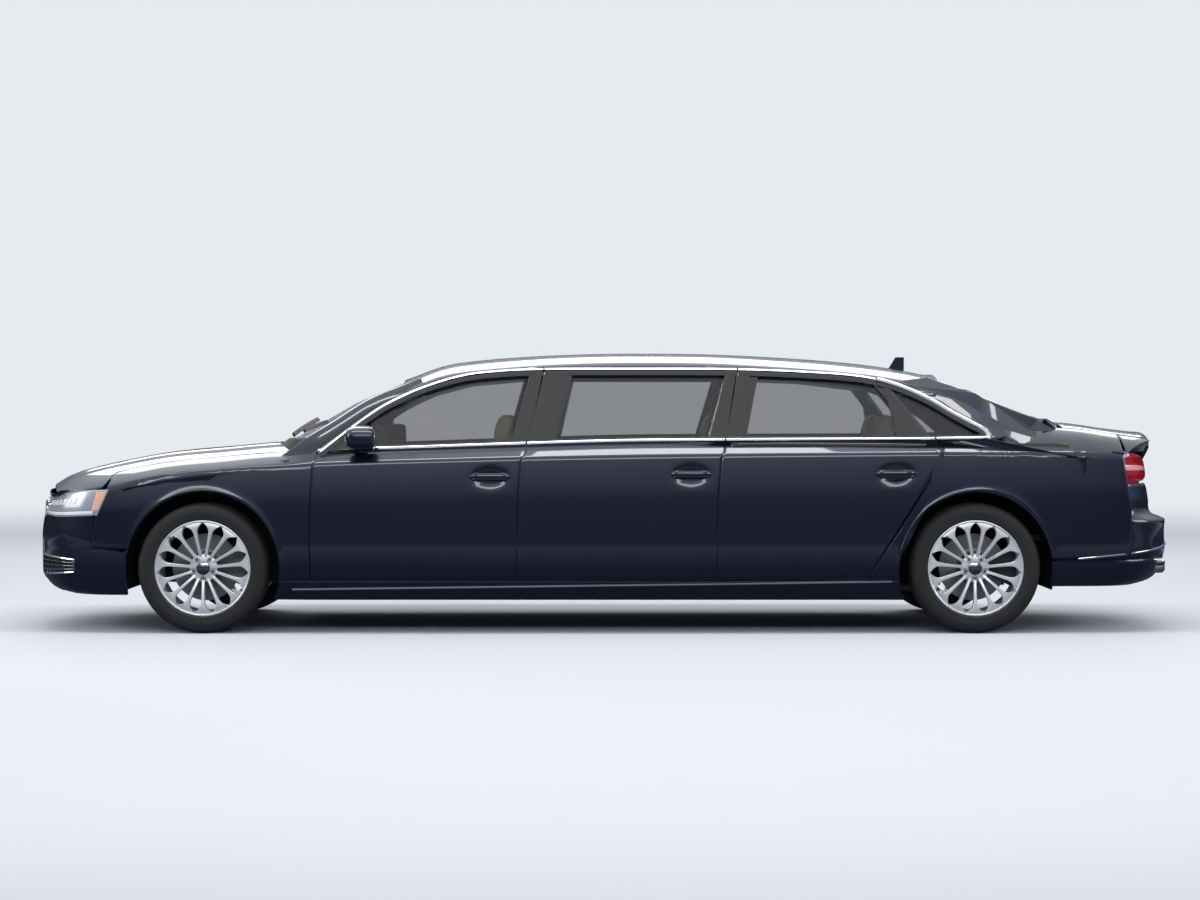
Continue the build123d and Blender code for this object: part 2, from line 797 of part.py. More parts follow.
def rear_bumper():
    """Rear bumper skin, open where the exhaust tips pass."""
    skin = wall("tail", 0, side_wall) & rear_bumper_zone()
    skin -= boot_cut(shut_gap) + tail_lamp_cut() + arches(arch_radius, half_width / 2)
    for side in (-1, 1):
        skin -= Pos(along(exhaust_share), side * (half_width - tip_width * 2),
                    above(exhaust_height_share)) * Box(
            length / 10, tip_width, tip_height)
    return largest(skin)


def grille():
    """Grille frame with its flat bars."""
    frame = (wall("front", 0, side_wall) & grille_cut()) - grille_cut(-grille_frame)
    low, high = above(grille_shares[0][1]), above(grille_shares[-1][1])
    bars = None
    for number in range(1, grille_bar_count):
        z = low + (high - low) * number / grille_bar_count
        bar = wall("front", grille_bar, side_wall) & grille_cut() & block(-half_length, half_length,
                                                                          -width, width,
                                                                 z - grille_bar / 2, z + grille_bar / 2)
        bars = bar if bars is None else bars + bar
    return only_solids(frame + bars)


def headlamps():
    """Both headlamps, as deep as their housings."""
    return only_solids((wall("front", 0, lamp_depth) & headlamp_cut()) - bonnet_cut(shut_gap))


def tail_lamps():
    """Both tail lamps, as deep as their housings."""
    return only_solids((wall("tail", 0, lamp_depth) & tail_lamp_cut()) - boot_cut(shut_gap))


def fixed_windows():
    """Windscreen, rear window and the two quarter windows."""
    skin = pane_wall()
    quarters = both_sides(largest(skin & slanted(side_points(quarter_window_shares))))
    screen = largest((skin & windscreen_cut()) - both_sides(door_cut(0)))
    return only_solids(screen + largest(skin & rear_window_cut()) + quarters)


def floor_pan():
    """Cabin floor, and the higher boot floor behind the rear seats."""
    start, step = along(bulkhead_share), along(rear_wall_share) + bulkhead_wall
    half = cabin_half()
    low = block(start, step, -half, half, floor_bottom, floor_bottom + floor_wall)
    riser = block(step - bulkhead_wall, step, -half, half, floor_bottom, boot_floor + floor_wall)
    high = inside(side_wall) & block(step - bulkhead_wall, along(tail_bumper_share), -half, half, boot_floor,
                                     boot_floor + floor_wall)
    return largest(low + riser + high - arches(liner_outer))


def bulkhead():
    """Wall between engine and cabin with the cowl and the bonnet's hinge brackets."""
    x = along(bulkhead_share)
    top = above(belt_line_shares[0][1]) - shut_gap
    plate = inside(side_wall) & block(x, x + bulkhead_wall, -width, width, floor_bottom + floor_wall, top)
    cowl = inside(side_wall) & block(along(bonnet_back_share), x + bulkhead_wall, -width, width,
                                     top - bulkhead_wall, top)
    hinge_x, hinge_z = bonnet_axis()
    half = bonnet_half - hinge_half
    bracket = block(x, hinge_x, half + hinge_clearance, half + hinge_half, top - bulkhead_wall, top)
    bracket += block(hinge_x - hinge_strap, hinge_x, half + hinge_clearance,
                     half + hinge_half + hinge_clearance,
                     top - bulkhead_wall, hinge_z)
    wall_piece = largest((plate + cowl) - arches(liner_outer) - both_sides(door_cut(0)))
    return largest(wall_piece + both_sides(bracket) + lid_barrels(bonnet_axis(), half, False, -hinge_strap,
                                                                  -hinge_strap))


def rear_deck():
    """Wall behind the rear seats, shelf under the rear window and the strip ahead of the boot lid."""
    x = along(rear_wall_share)
    shelf_z = above(belt_line_shares[-1][1]) - bulkhead_wall
    boot_x = along(boot_front_share) - shut_gap
    door_end = along(shut_line_shares[-1][4][0]) + shut_gap
    ahead = inside(door_wall + post_gap) & block(x, door_end, -width, width, 0, shelf_z)
    plate = ahead & block(x, x + bulkhead_wall, -width, width, boot_floor + floor_wall, shelf_z)
    shelf = ahead & block(x, door_end, -width, width, shelf_z - floor_wall, shelf_z)
    shelf += inside(side_wall) & block(door_end, boot_x, -width, width, shelf_z - floor_wall, shelf_z)
    pad = zone("cabin", door_wall + pad_gap) & block(x, x + bulkhead_wall, -width, -cabin_half(),
                                                     shelf_z - 2 * floor_wall, shelf_z)
    strip = (wall("tail", 0, side_wall) & block(boot_x - strip_length, boot_x, -roof_half, roof_half, 0,
                                                height))
    strip = strip - zone("glass", glass_inset + glass_wall)
    web = block(boot_x - bulkhead_wall, boot_x, -roof_half, roof_half, shelf_z - floor_wall,
                above(boot_line_shares[0][1])) & zone("tail", side_wall)
    piece = plate + shelf + (strip & block(0, length, -width, width, shelf_z, height)) + web
    piece = largest((piece + both_sides(pad)) - arches(liner_outer))
    return largest(piece + lid_barrels(boot_axis(), boot_hinge_half, False, -hinge_strap, -2 * hinge_radius))


def wheel_liners():
    """Curved liners over the four wheels."""
    liners = []
    for x in (front_axle_x, rear_axle_x):
        ring = arch_cut(x, liner_radius + liner_thickness) - arch_cut(x, liner_radius, 0)
        ring &= inside(side_wall)
        ring &= block(x - length, x + length, -width, width, tyre_radius, height)
        liners.append(largest(ring))
    return only_solids(both_sides(liners[0] + liners[1]))


def wheel():
    """Left wheel about its own centre, outer face towards -Y, with its brake disc."""
    barrel = Cylinder(rim_radius, rim_width) - Cylinder(rim_radius - rim_wall, 2 * rim_width)
    hub_length = rim_width / 2 - spoke_set_in + disc_inset
    hub_middle = (rim_width / 2 - spoke_set_in - disc_inset) / 2
    hub = Pos(0, 0, hub_middle) * (Cylinder(hub_radius, hub_length) - Cylinder(hub_bore_radius,
                                                                               2 * hub_length))
    root, tip = hub_radius / 2, rim_radius - rim_wall / 2
    plan = outline((root, -spoke_root_half), (tip, -spoke_tip_half), (tip, spoke_tip_half), (root,
        spoke_root_half))
    middle = rim_width / 2 - spoke_set_in - spoke_depth
    spoke = extrude(Pos(0, 0, middle) * plan, spoke_depth)
    disc = Pos(0, 0, -disc_inset) * (Cylinder(disc_radius, disc_thickness) - Cylinder(hub_radius / 2,
        2 * rim_width))
    body = barrel + hub + disc
    for number in range(spoke_count):
        body += Rot(0, 0, number * 360 / spoke_count) * spoke
    body -= Pos(0, 0, hub_middle) * Cylinder(hub_bore_radius, 2 * hub_length)
    cap = Pos(0, 0, rim_width / 2 - spoke_set_in - spoke_depth / 2) * Cylinder(hub_radius / 2,
                                                                               spoke_depth / 2)
    return Rot(90, 0, 0) * (body + cap)


def tyre():
    """Left tyre about its own centre."""
    carcass = Cylinder(tyre_radius, tyre_width)
    carcass = fillet(carcass.edges().filter_by(GeomType.CIRCLE), tyre_shoulder)
    return Rot(90, 0, 0) * (carcass - Cylinder(rim_radius, 2 * tyre_width))


def knuckle():
    """Left front knuckle: upright, stub axle and caliper, about the wheel centre."""
    pin_y = kingpin_inset
    upright_post = Pos(0, pin_y, 0) * Cylinder(upright_radius, 2 * upright_half)
    stub_length = pin_y + stub_reach
    stub = Pos(0, pin_y - stub_length / 2, 0) * Rot(90, 0, 0) * Cylinder(stub_radius, stub_length)
    body = upright_post + stub + caliper(pin_y)
    return body - Pos(0, pin_y, 0) * Cylinder(kingpin_radius + kingpin_clearance, 4 * upright_half)


def caliper(back_y):
    """Brake caliper over the rear of the disc, with its bracket to the upright."""
    outer = rim_radius - rim_wall - caliper_clearance
    inner = disc_radius * cos(radians(caliper_half_angle)) / 2
    wedge = outline((0, 0), (outer * 2, -outer), (outer * 2, outer))
    ring = Rot(90, 0, 0) * (Cylinder(outer, caliper_width) - Cylinder(inner, 2 * caliper_width))
    sector = extrude(Plane.XZ * wedge, rim_width, both=True)
    slot = Rot(90, 0, 0) * Cylinder(disc_radius + caliper_clearance, disc_thickness + 2 * caliper_clearance)
    body = Pos(0, disc_inset, 0) * ((ring & sector) - slot)
    tongue = block(0, (outer + inner) / 2, disc_inset + caliper_width / 2 - caliper_clearance, back_y,
                   -stub_radius, stub_radius)
    return body + tongue


def kingpin_place(side):
    """Foot of a steering axis: x, y."""
    return front_axle_x, side * (front_track / 2 - kingpin_inset)


def front_subframe():
    """Rails, arms, struts and pins that carry the two knuckles and the engine."""
    start, end = along(beam_start_share), along(bulkhead_share)
    body = None
    for side in (-1, 1):
        x, pin_y = kingpin_place(side)
        rail_y = side * (beam_half_y - beam_size / 2)
        rail = block(start, end, rail_y - beam_size / 2, rail_y + beam_size / 2, beam_bottom,
                     beam_bottom + beam_size)
        arms = None
        for level in (-1, 1):
            gap = hinge_clearance
            near = tyre_radius + level * (upright_half + gap)
            far = near + level * arm_wall
            z0, z1 = sorted((near, far))
            inner = side * (beam_half_y - beam_size)
            y0, y1 = sorted((inner, pin_y + side * arm_end))
            arm = block(x - arm_half, x + arm_half, y0, y1, z0, z1)
            arms = arm if arms is None else arms + arm
        tower = block(x - beam_size, x + beam_size, rail_y - beam_size / 2, rail_y + beam_size / 2,
                      beam_bottom,
                      beam_bottom + 2 * beam_size)
        pin = Pos(x, pin_y, tyre_radius) * Cylinder(kingpin_radius, 2 * upright_half + arm_wall)
        strut_y = side * strut_half_y
        strut_low = tyre_radius + upright_half + hinge_clearance
        strut_top = above(strut_top_share)
        strut = Pos(x, strut_y, (strut_low + strut_top) / 2) * Cylinder(strut_radius, strut_top - strut_low)
        y0, y1 = sorted((rail_y, strut_y + side * strut_radius))
        cup = block(x - beam_size, x + beam_size, y0, y1, strut_top, strut_top + arm_wall)
        tower += block(x - beam_size, x + beam_size, rail_y - beam_size / 2, rail_y + beam_size / 2,
                       tyre_radius, strut_top + arm_wall)
        one = rail + arms + tower + pin + strut + cup
        body = one if body is None else body + one
    for x in (start + beam_size / 2, front_axle_x, end - beam_size / 2):
        body += block(x - beam_size / 2, x + beam_size / 2, -beam_half_y, beam_half_y, beam_bottom,
                      engine_bottom)
    nose = inside(side_wall) & block(-half_length, start + beam_size, -half_width * grille_shares[2][0],
                                       half_width * grille_shares[2][0], beam_bottom, beam_bottom + beam_size)
    return largest(body + nose)


def rear_subframe():
    """Rear axle frame with hub carriers, arms, half shafts and final drive."""
    x = rear_axle_x
    body = block(x - 2 * beam_size, x + 2 * beam_size, -beam_size, beam_size, tyre_radius - beam_size,
                 tyre_radius + beam_size)
    for end in (-1, 1):
        cross_x = x + end * 2 * beam_size
        body += block(cross_x - beam_size / 2, cross_x + beam_size / 2, -beam_half_y, beam_half_y,
                      floor_bottom + floor_wall, floor_bottom + floor_wall + beam_size)
        for side in (-1, 1):
            y0, y1 = sorted((side * (beam_half_y - beam_size), side * beam_half_y))
            body += block(cross_x - beam_size / 2, cross_x + beam_size / 2, y0, y1, floor_bottom + floor_wall,
                          boot_floor)
    for side in (-1, 1):
        wheel_y = side * rear_track / 2
        carrier_y = wheel_y - side * kingpin_inset
        stub_y0, stub_y1 = sorted((carrier_y, wheel_y + side * stub_reach))
        body += Pos(x, (stub_y0 + stub_y1) / 2, tyre_radius) * Rot(90, 0, 0) * Cylinder(stub_radius,
                                                                                       stub_y1 - stub_y0)
        y0, y1 = sorted((carrier_y - side * upright_radius, carrier_y + side * upright_radius))
        body += block(x - upright_half, x + upright_half, y0, y1, tyre_radius - upright_half,
                      tyre_radius + upright_half)
        y0, y1 = sorted((0, carrier_y))
        for level in (-1, 1):
            z = tyre_radius + level * (upright_half - arm_wall / 2)
            body += block(x - arm_half, x + arm_half, y0, y1, z - arm_wall / 2, z + arm_wall / 2)
        body += Pos(x, (y0 + y1) / 2, tyre_radius) * Rot(90, 0, 0) * Cylinder(strut_radius, y1 - y0)
        brake = caliper(kingpin_inset)
        brake = brake if side < 0 else mirror(brake, about=Plane.XZ)
        body += Pos(x, wheel_y, tyre_radius) * brake
    return largest(body - block(x - length, x + length, -width, width, 0, floor_bottom))


def engine_block():
    """Engine and gearbox as one plain mass."""
    x = front_axle_x - engine_length / 4
    return block(x - engine_length / 2, x + engine_length / 2, -engine_width / 2, engine_width / 2,
                 engine_bottom,
                 engine_bottom + engine_height)


def exhaust():
    """Two silencers with their tips in the rear bumper."""
    pieces = []
    for side in (-1, 1):
        tip_y = side * (half_width - 2 * tip_width)
        x, z = along(exhaust_share), above(exhaust_height_share)
        tip = Pos(x, tip_y, z) * Box(tip_length, tip_width - 2 * tip_wall, tip_height - 2 * tip_wall)
        tip -= Pos(x + tip_length / 4, tip_y, z) * Box(tip_length, tip_width - 4 * tip_wall,
                                                      tip_height - 4 * tip_wall)
        can_x = along(silencer_share)
        can_end = x - tip_length / 2
        can = Pos((can_x + can_end) / 2, tip_y, z) * Box(can_end - can_x, tip_width, silencer_height / 2)
        hanger = Pos(can_x + strut_radius, tip_y, 0) * block(-strut_radius, strut_radius, -strut_radius,
                                                             strut_radius,
                                                            z, boot_floor)
        pieces.append(tip + can + hanger)
    return only_solids(pieces[0] + pieces[1])


def seat(x):
    """One seat: cushion, leaning back and headrest, on a foot."""
    top = cushion_bottom + cushion_height
    cushion = block(x - cushion_length, x, -cushion_width / 2, cushion_width / 2, cushion_bottom, top)
    cushion = fillet(cushion.edges(), cushion_height / 4)
    back = block(0, back_wall, -cushion_width / 2, cushion_width / 2, 0, back_height)
    back = fillet(back.edges(), back_wall / 3)
    rest = Pos(back_wall / 2, 0, back_height + headrest_gap + headrest_height / 2) * Box(
        headrest_wall, headrest_width, headrest_height)
    rest = fillet(rest.edges(), headrest_wall / 3)
    posts = block(back_wall / 2 - headrest_gap / 2, back_wall / 2 + headrest_gap / 2, -headrest_width / 3,
                  headrest_width / 3, back_height - headrest_gap, back_height + 2 * headrest_gap)
    upper = Pos(x - back_wall, 0, top - cushion_height / 2) * (Rot(0, back_lean, 0) * (back + rest + posts))
    foot = block(x - cushion_length + seat_foot, x - seat_foot, -cushion_width / 2 + seat_foot,
                 cushion_width / 2 - seat_foot, floor_bottom + floor_wall, cushion_bottom + cushion_height / 2)
    return cushion + upper + foot


def seat_row(share):
    """Two seats side by side."""
    one = seat(along(share))
    return only_solids(Pos(0, -seat_half_y, 0) * one + Pos(0, seat_half_y, 0) * one)


def dashboard():
    """Dashboard between the front posts, with the steering column."""
    x = along(dash_share)
    start = along(bulkhead_share) + bulkhead_wall
    half = cabin_half()
    body = inside(side_wall) & block(start, x, -half, half, above(dash_low_share), above(dash_high_share))
    column_top = -steering_rim_wall - column_clearance
    column = steering_place() * (Pos(0, 0, column_top - column_length / 2) * Cylinder(column_radius,
        column_length))
    column &= block(start, half_length, -width, width, 0, height)
    return largest(body + column)


def steering_axis():
    """Unit direction of the steering column, up and rearwards."""
    return Vector(cos(radians(column_lean)), 0, sin(radians(column_lean)))


def steering_place():
    """Location of the steering wheel, its own z along the column."""
    x, z = along(steering_share), above(steering_height_share)
    return Location(Plane(origin=(x, -seat_half_y, z), x_dir=(0, 1, 0), z_dir=steering_axis()))


def steering_wheel():
    """Rim, three spokes and hub."""
    rim = Torus(steering_rim_radius, steering_rim_wall)
    hub = Cylinder(steering_hub_radius, 2 * steering_rim_wall)
    body = rim + hub
    for angle in (0, 180, 270):
        spoke = Pos(steering_rim_radius / 2, 0, 0) * Box(steering_rim_radius, 2 * steering_rim_wall,
                                                         steering_rim_wall)
        body += Rot(0, 0, angle) * spoke
    return steering_place() * body


def roof_antenna():
    """Low fin on the rear of the roof."""
    x = along(antenna_share)
    low = above(glass_cant_shares[1])
    face = outline((x - antenna_length / 2, low), (x + antenna_length / 2, low),
                   (x + antenna_length / 2, height - antenna_height / 3), (x, height - antenna_height / 3))
    fin = extrude(Plane.XZ * face, antenna_wall, both=True)
    return largest(fin - zone("glass", 0))


def left_and_right(name, piece):
    """A left piece and its mirror image, named for their sides."""
    return {f"{name}_left": piece, f"{name}_right": mirror(piece, about=Plane.XZ)}


def model():
    """Every node of the vehicle by name."""
    nodes = {
        "body_sides": body_sides(), "front_fenders": fenders(), "roof_panel": roof_panel(),
        "front_bumper": front_bumper(), "rear_bumper": rear_bumper(), "grille": grille(),
        "headlamps": headlamps(), "tail_lamps": tail_lamps(), "fixed_windows": fixed_windows(),
        "floor_pan": floor_pan(), "bulkhead": bulkhead(), "rear_deck": rear_deck(),
        "wheel_liners": wheel_liners(), "engine_block": engine_block(), "front_subframe": front_subframe(),
        "rear_subframe": rear_subframe(), "exhaust": exhaust(), "dashboard": dashboard(),
        "steering_wheel": steering_wheel(), "roof_antenna": roof_antenna(), "bonnet": bonnet(),
        "boot_lid": boot_lid(),
    }
    for row, share in zip(("front", "middle", "rear"), seat_row_shares):
        nodes[f"{row}_seats"] = seat_row(share)
    for index, row in enumerate(("front", "middle", "rear")):
        nodes.update(left_and_right(f"{row}_door", door(index)))
        nodes.update(left_and_right(f"{row}_door_glass", door_glass(index)))
    nodes.update(left_and_right("front_knuckle",
                                Pos(front_axle_x, -front_track / 2, tyre_radius) * knuckle()))
    for row, x, track in (("front", front_axle_x, front_track), ("rear", rear_axle_x, rear_track)):
        centre = Pos(x, -track / 2, tyre_radius)
        nodes.update(left_and_right(f"{row}_wheel", centre * wheel()))
        nodes.update(left_and_right(f"{row}_tyre", centre * tyre()))
    return nodes


if __name__ == "__main__":
    os.makedirs("parts", exist_ok=True)
    for name, piece in model().items():
        export_step(piece, f"parts/{name}.step")
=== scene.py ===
import json
import logging
import math
from dataclasses import dataclass
from enum import Enum
from typing import Callable, Sequence

import bmesh
import bpy
from mathutils import Matrix, Vector


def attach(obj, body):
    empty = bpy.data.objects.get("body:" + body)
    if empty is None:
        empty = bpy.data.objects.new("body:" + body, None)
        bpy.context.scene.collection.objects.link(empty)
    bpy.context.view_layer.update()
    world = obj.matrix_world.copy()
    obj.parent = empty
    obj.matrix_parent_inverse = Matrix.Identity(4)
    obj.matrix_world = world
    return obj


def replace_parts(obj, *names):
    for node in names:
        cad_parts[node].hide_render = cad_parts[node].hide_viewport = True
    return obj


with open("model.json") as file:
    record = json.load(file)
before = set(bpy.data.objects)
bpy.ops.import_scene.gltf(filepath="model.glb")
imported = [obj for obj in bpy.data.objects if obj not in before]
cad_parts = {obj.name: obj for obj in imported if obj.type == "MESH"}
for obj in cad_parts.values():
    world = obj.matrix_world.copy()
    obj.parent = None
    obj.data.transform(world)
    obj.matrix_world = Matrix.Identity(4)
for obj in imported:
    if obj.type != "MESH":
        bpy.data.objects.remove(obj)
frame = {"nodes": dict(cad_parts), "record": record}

log = logging.getLogger("limousine")
MM = 0.001
ROWS = ("front", "middle", "rear")
Point = tuple[float, float]


class Side(Enum):
    """Side of the car: left is towards -Y."""
    LEFT = -1
    RIGHT = 1

    @property
    def word(self) -> str:
        """Name of the side as the bodies spell it."""
        return self.name.lower()


class Curve:
    """Smooth line through points, read at a place along its first coordinate."""

    def __init__(self, *points: Point) -> None:
        """Keeps what its methods need."""
        self.points = sorted((x * MM, z * MM) for x, z in points)

    def __call__(self, x: float) -> float:
        """Value of the line at x, held level beyond its ends.

        Args:
            x: place in metres.
        Returns:
            The value in metres.
        """
        pts = self.points
        if x <= pts[0][0]:
            return pts[0][1]
        if x >= pts[-1][0]:
            return pts[-1][1]
        i = max(k for k in range(len(pts) - 1) if pts[k][0] <= x)
        (x0, z0), (x1, z1) = pts[i], pts[i + 1]
        step = (z1 - z0) / (x1 - x0)
        before = (z0 - pts[i - 1][1]) / (x0 - pts[i - 1][0]) if i else step
        after = (pts[i + 2][1] - z1) / (pts[i + 2][0] - x1) if i + 2 < len(pts) else step
        m0 = 0.0 if before * step < 0 else 0.5 * (before + step)
        m1 = 0.0 if after * step < 0 else 0.5 * (after + step)
        h, t = x1 - x0, (x - x0) / (x1 - x0)
        return ((2 * t**3 - 3 * t**2 + 1) * z0 + (t**3 - 2 * t**2 + t) * h * m0
                + (3 * t**2 - 2 * t**3) * z1 + (t**3 - t**2) * h * m1)


class Path:
    """Line through points in order, read by its share of length."""

    def __init__(self, *points: Sequence[float], scale: float = MM) -> None:
        """Keeps what its methods need."""
        self.points = [Vector(p) * scale for p in points]
        self.marks = [0.0]
        for a, b in zip(self.points, self.points[1:]):
            self.marks.append(self.marks[-1] + (b - a).length)

    def __call__(self, t: float) -> Vector:
        """Point at share t of the length, rounded slightly between the given ones."""
        want = min(max(t, 0.0), 1.0) * self.marks[-1]
        i = max(k for k in range(len(self.points) - 1) if self.marks[k] <= want + 1e-12)
        p, m = self.points, self.marks
        h = m[i + 1] - m[i]
        s = (want - m[i]) / h
        step = (p[i + 1] - p[i]) / h
        m0 = ((p[i] - p[i - 1]) / (m[i] - m[i - 1]) + step) / 2 if i else step
        m1 = ((p[i + 2] - p[i + 1]) / (m[i + 2] - m[i + 1]) + step) / 2 if i + 2 < len(p) else step
        return ((2 * s**3 - 3 * s**2 + 1) * p[i] + (s**3 - 2 * s**2 + s) * h * m0
                + (3 * s**2 - 2 * s**3) * p[i + 1] + (s**3 - s**2) * h * m1)


class Form:
    """Master surfaces of the body, left side, in metres."""

    half = 0.9745
    full_z = 0.640
    plan = Curve((-3180, 560), (-3120, 640), (-3060, 735), (-3000, 805), (-2900, 872), (-2749, 922),
                 (-2191, 946),
                 (-1500, 962), (-800, 972), (0, 974.5), (800, 972), (1500, 962), (2191, 946), (2749, 922),
                 (2900, 900), (3020, 858), (3090, 790), (3130, 690), (3180, 560))
    crease = Curve((-3060, 742), (-2900, 768), (-2716, 797), (-2427, 860), (-2101, 897), (-1600, 925),
                   (-760, 950),
                   (87, 966), (1066, 977), (2000, 983), (2699, 982), (3000, 968), (3180, 940))
    centre = Curve((-3140, 770), (-3102, 805), (-3012, 862), (-2922, 891), (-2742, 933), (-2472, 982),
                   (-2113, 1016), (-1843, 1039), (-1500, 1052), (-1000, 1060), (1000, 1120), (1800, 1160),
                   (2200, 1166), (2636, 1145), (2821, 1119), (3006, 1096), (3064, 1088), (3100, 1060))
    belt = Curve((-1800, 970), (-1552, 993), (-1031, 1012), (-470, 1031), (87, 1047), (850, 1053), (1720,
        1057),
                 (2130, 1064))
    roof = Curve((-1180, 1380), (-1065, 1422), (-968, 1459), (-875, 1484), (-690, 1508), (-505, 1523),
                 (-320, 1534),
                 (0, 1544), (300, 1545), (602, 1541), (880, 1529), (1157, 1512), (1342, 1497), (1527, 1477),
                 (1712, 1449), (1830, 1424))
    surround = Curve((-1552, 993), (-1400, 1113), (-1227, 1237), (-1100, 1303), (-1004, 1344), (-778, 1412),
                     (-554, 1438), (-350, 1446), (89, 1448), (754, 1445), (1100, 1432), (1418,
                         1407), (1560, 1378),
                     (1700, 1327), (1815, 1270), (1924, 1203), (2020, 1150), (2091, 1108), (2127, 1066))

    @classmethod
    def side(cls, x: float, z: float) -> float:
        """Half width of the lower body at a place along it and a height up to the crease."""
        if z <= cls.full_z:
            return cls.plan(x) - 0.082 * ((cls.full_z - z) / 0.465) ** 4
        rise = (z - cls.full_z) / max(cls.crease(x) - cls.full_z, 0.05)
        return cls.plan(x) - 0.020 * rise**2

    @classmethod
    def cabin_share(cls, x: float) -> float:
        """1 beside the cabin and 0 beside bonnet and boot, eased between."""
        t = max(0.0, min(1.0, (x + 1.80) / 0.25)) * max(0.0, min(1.0, (2.25 - x) / 0.30))
        return t * t * (3 - 2 * t)

    @classmethod
    def skin(cls, x: float, w: float) -> Vector:
        """Point of the left skin; w is the height up to the crease and the way inboard above it."""
        crease = cls.crease(x)
        if w <= crease:
            return Vector((x, -cls.side(x, w), w))
        edge, way = cls.side(x, crease), w - crease
        slope = max(cls.belt(x) - crease, 0.03) / 0.075
        lid = cls.top(x, edge - way)
        share = cls.cabin_share(x)
        beside = crease + slope * way
        return Vector((x, -(edge - way), beside * share + lid * (1 - share)))

    @classmethod
    def top(cls, x: float, y: float) -> float:
        """Height of the bonnet or boot surface at a place along and across."""
        edge = cls.side(x, cls.crease(x))
        drop = cls.centre(x) - cls.crease(x)
        return cls.centre(x) - drop * (min(abs(y), edge) / edge) ** (3.0 if x < 0 else 4.5)

    @classmethod
    def glass(cls, x: float, z: float, proud: float = 0.0) -> Vector:
        """Point of the left greenhouse side."""
        return Vector((x, -(0.885 - 0.5338 * (z - 0.989) + proud), z))

    @classmethod
    def roof_point(cls, x: float, t: float) -> Vector:
        """Point of the roof section from the left surround (t = 0) over the middle (0.5) to the right (1)."""
        s = min(t, 1 - t) * 2
        z0 = max(cls.surround(x), 1.30)
        z0 = min(z0, cls.roof(x) - 0.030)
        start, top = cls.glass(x, z0, 0.004), Vector((x, 0, cls.roof(x)))
        lean = Vector((0, 0.5338, 1))
        reach = max(top.z - start.z - 0.062, 0.012)
        one, two = start + lean * reach, Vector((x, -0.36, top.z))
        p = (start * (1 - s)**3 + one * (3 * s * (1 - s)**2) + two * (3 * s * s * (1 - s)) + top * s**3)
        return Vector((p.x, p.y if t <= 0.5 else -p.y, p.z))


class Socket:
    """A shader output that takes part in sums."""

    def __init__(self, shader: "Shader", socket) -> None:
        """Keeps what its methods need."""
        self.shader, self.socket = shader, socket

    def _math(self, operation: str, a, b) -> "Socket":
        """Math node on two values."""
        return self.shader.node("ShaderNodeMath", {"operation": operation}, a, b)

    def __add__(self, other: "Socket | float") -> "Socket":
        """Sum of two values."""
        return self._math("ADD", self, other)

    __radd__ = __add__

    def __mul__(self, other: "Socket | float") -> "Socket":
        """Product of two values."""
        return self._math("MULTIPLY", self, other)

    __rmul__ = __mul__

    def __sub__(self, other: "Socket | float") -> "Socket":
        """Difference of two values."""
        return self._math("SUBTRACT", self, other)

    def __rsub__(self, other: "Socket | float") -> "Socket":
        """Difference from a number."""
        return self._math("SUBTRACT", other, self)


class Shader:
    """Material built from a principled surface and named textures."""

    def __init__(self, name: str, **settings) -> None:
        """Makes the material.

        Args:
            name: name of the material.
            settings: constants of the principled surface by input name, spaces as underscores.
        """
        self.material = bpy.data.materials.new(name)
        self.material.use_nodes = True
        self.tree = self.material.node_tree
        self.surface = self.tree.nodes["Principled BSDF"]
        for key, value in settings.items():
            self.surface.inputs[key.replace("_", " ").title().replace("Ior", "IOR")].default_value = value
        colour = settings.get("base_color", (0.5, 0.5, 0.5, 1.0))
        self.material.diffuse_color = colour

    def node(self, kind: str, settings: dict | None = None, *inputs, out: int | str = 0) -> Socket:
        """Adds a node with its settings, then its inputs.

        Args:
            kind: node type.
            settings: properties set before the inputs.
            inputs: values or sockets for the inputs in order, None to leave one alone.
            out: output to hand back.
        Returns:
            The chosen output.
        """
        made = self.tree.nodes.new(kind)
        for key, value in (settings or {}).items():
            setattr(made, key, value)
        for place, value in enumerate(inputs):
            if isinstance(value, Socket):
                self.tree.links.new(value.socket, made.inputs[place])
            elif value is not None:
                made.inputs[place].default_value = value
        return Socket(self, made.outputs[out])

    def coords(self) -> Socket:
        """Object coordinates."""
        return self.node("ShaderNodeTexCoord", out="Object")

    def noise(self, scale: float, detail: float = 2.0) -> Socket:
        """Noise value at a scale."""
        return self.node("ShaderNodeTexNoise", {}, self.coords(), None, scale, detail)

    def drive(self, name: str, value: Socket) -> None:
        """Feeds an input of the surface."""
        self.tree.links.new(value.socket, self.surface.inputs[name])

    def bump(self, height: Socket, strength: float, distance: float) -> None:
        """Raises the surface by a height field."""
        made = self.tree.nodes.new("ShaderNodeBump")
        made.inputs["Strength"].default_value = strength
        made.inputs["Distance"].default_value = distance
        self.tree.links.new(height.socket, made.inputs["Height"])
        self.tree.links.new(made.outputs[0], self.surface.inputs["Normal"])

    def blend(self, factor: Socket, low: Sequence[float], high: Sequence[float]) -> None:
        """Base colour between two colours by a factor."""
        made = self.tree.nodes.new("ShaderNodeMix")
        made.data_type = "RGBA"
        self.tree.links.new(factor.socket, made.inputs[0])
        made.inputs[6].default_value, made.inputs[7].default_value = low, high
        self.tree.links.new(made.outputs[2], self.surface.inputs["Base Color"])


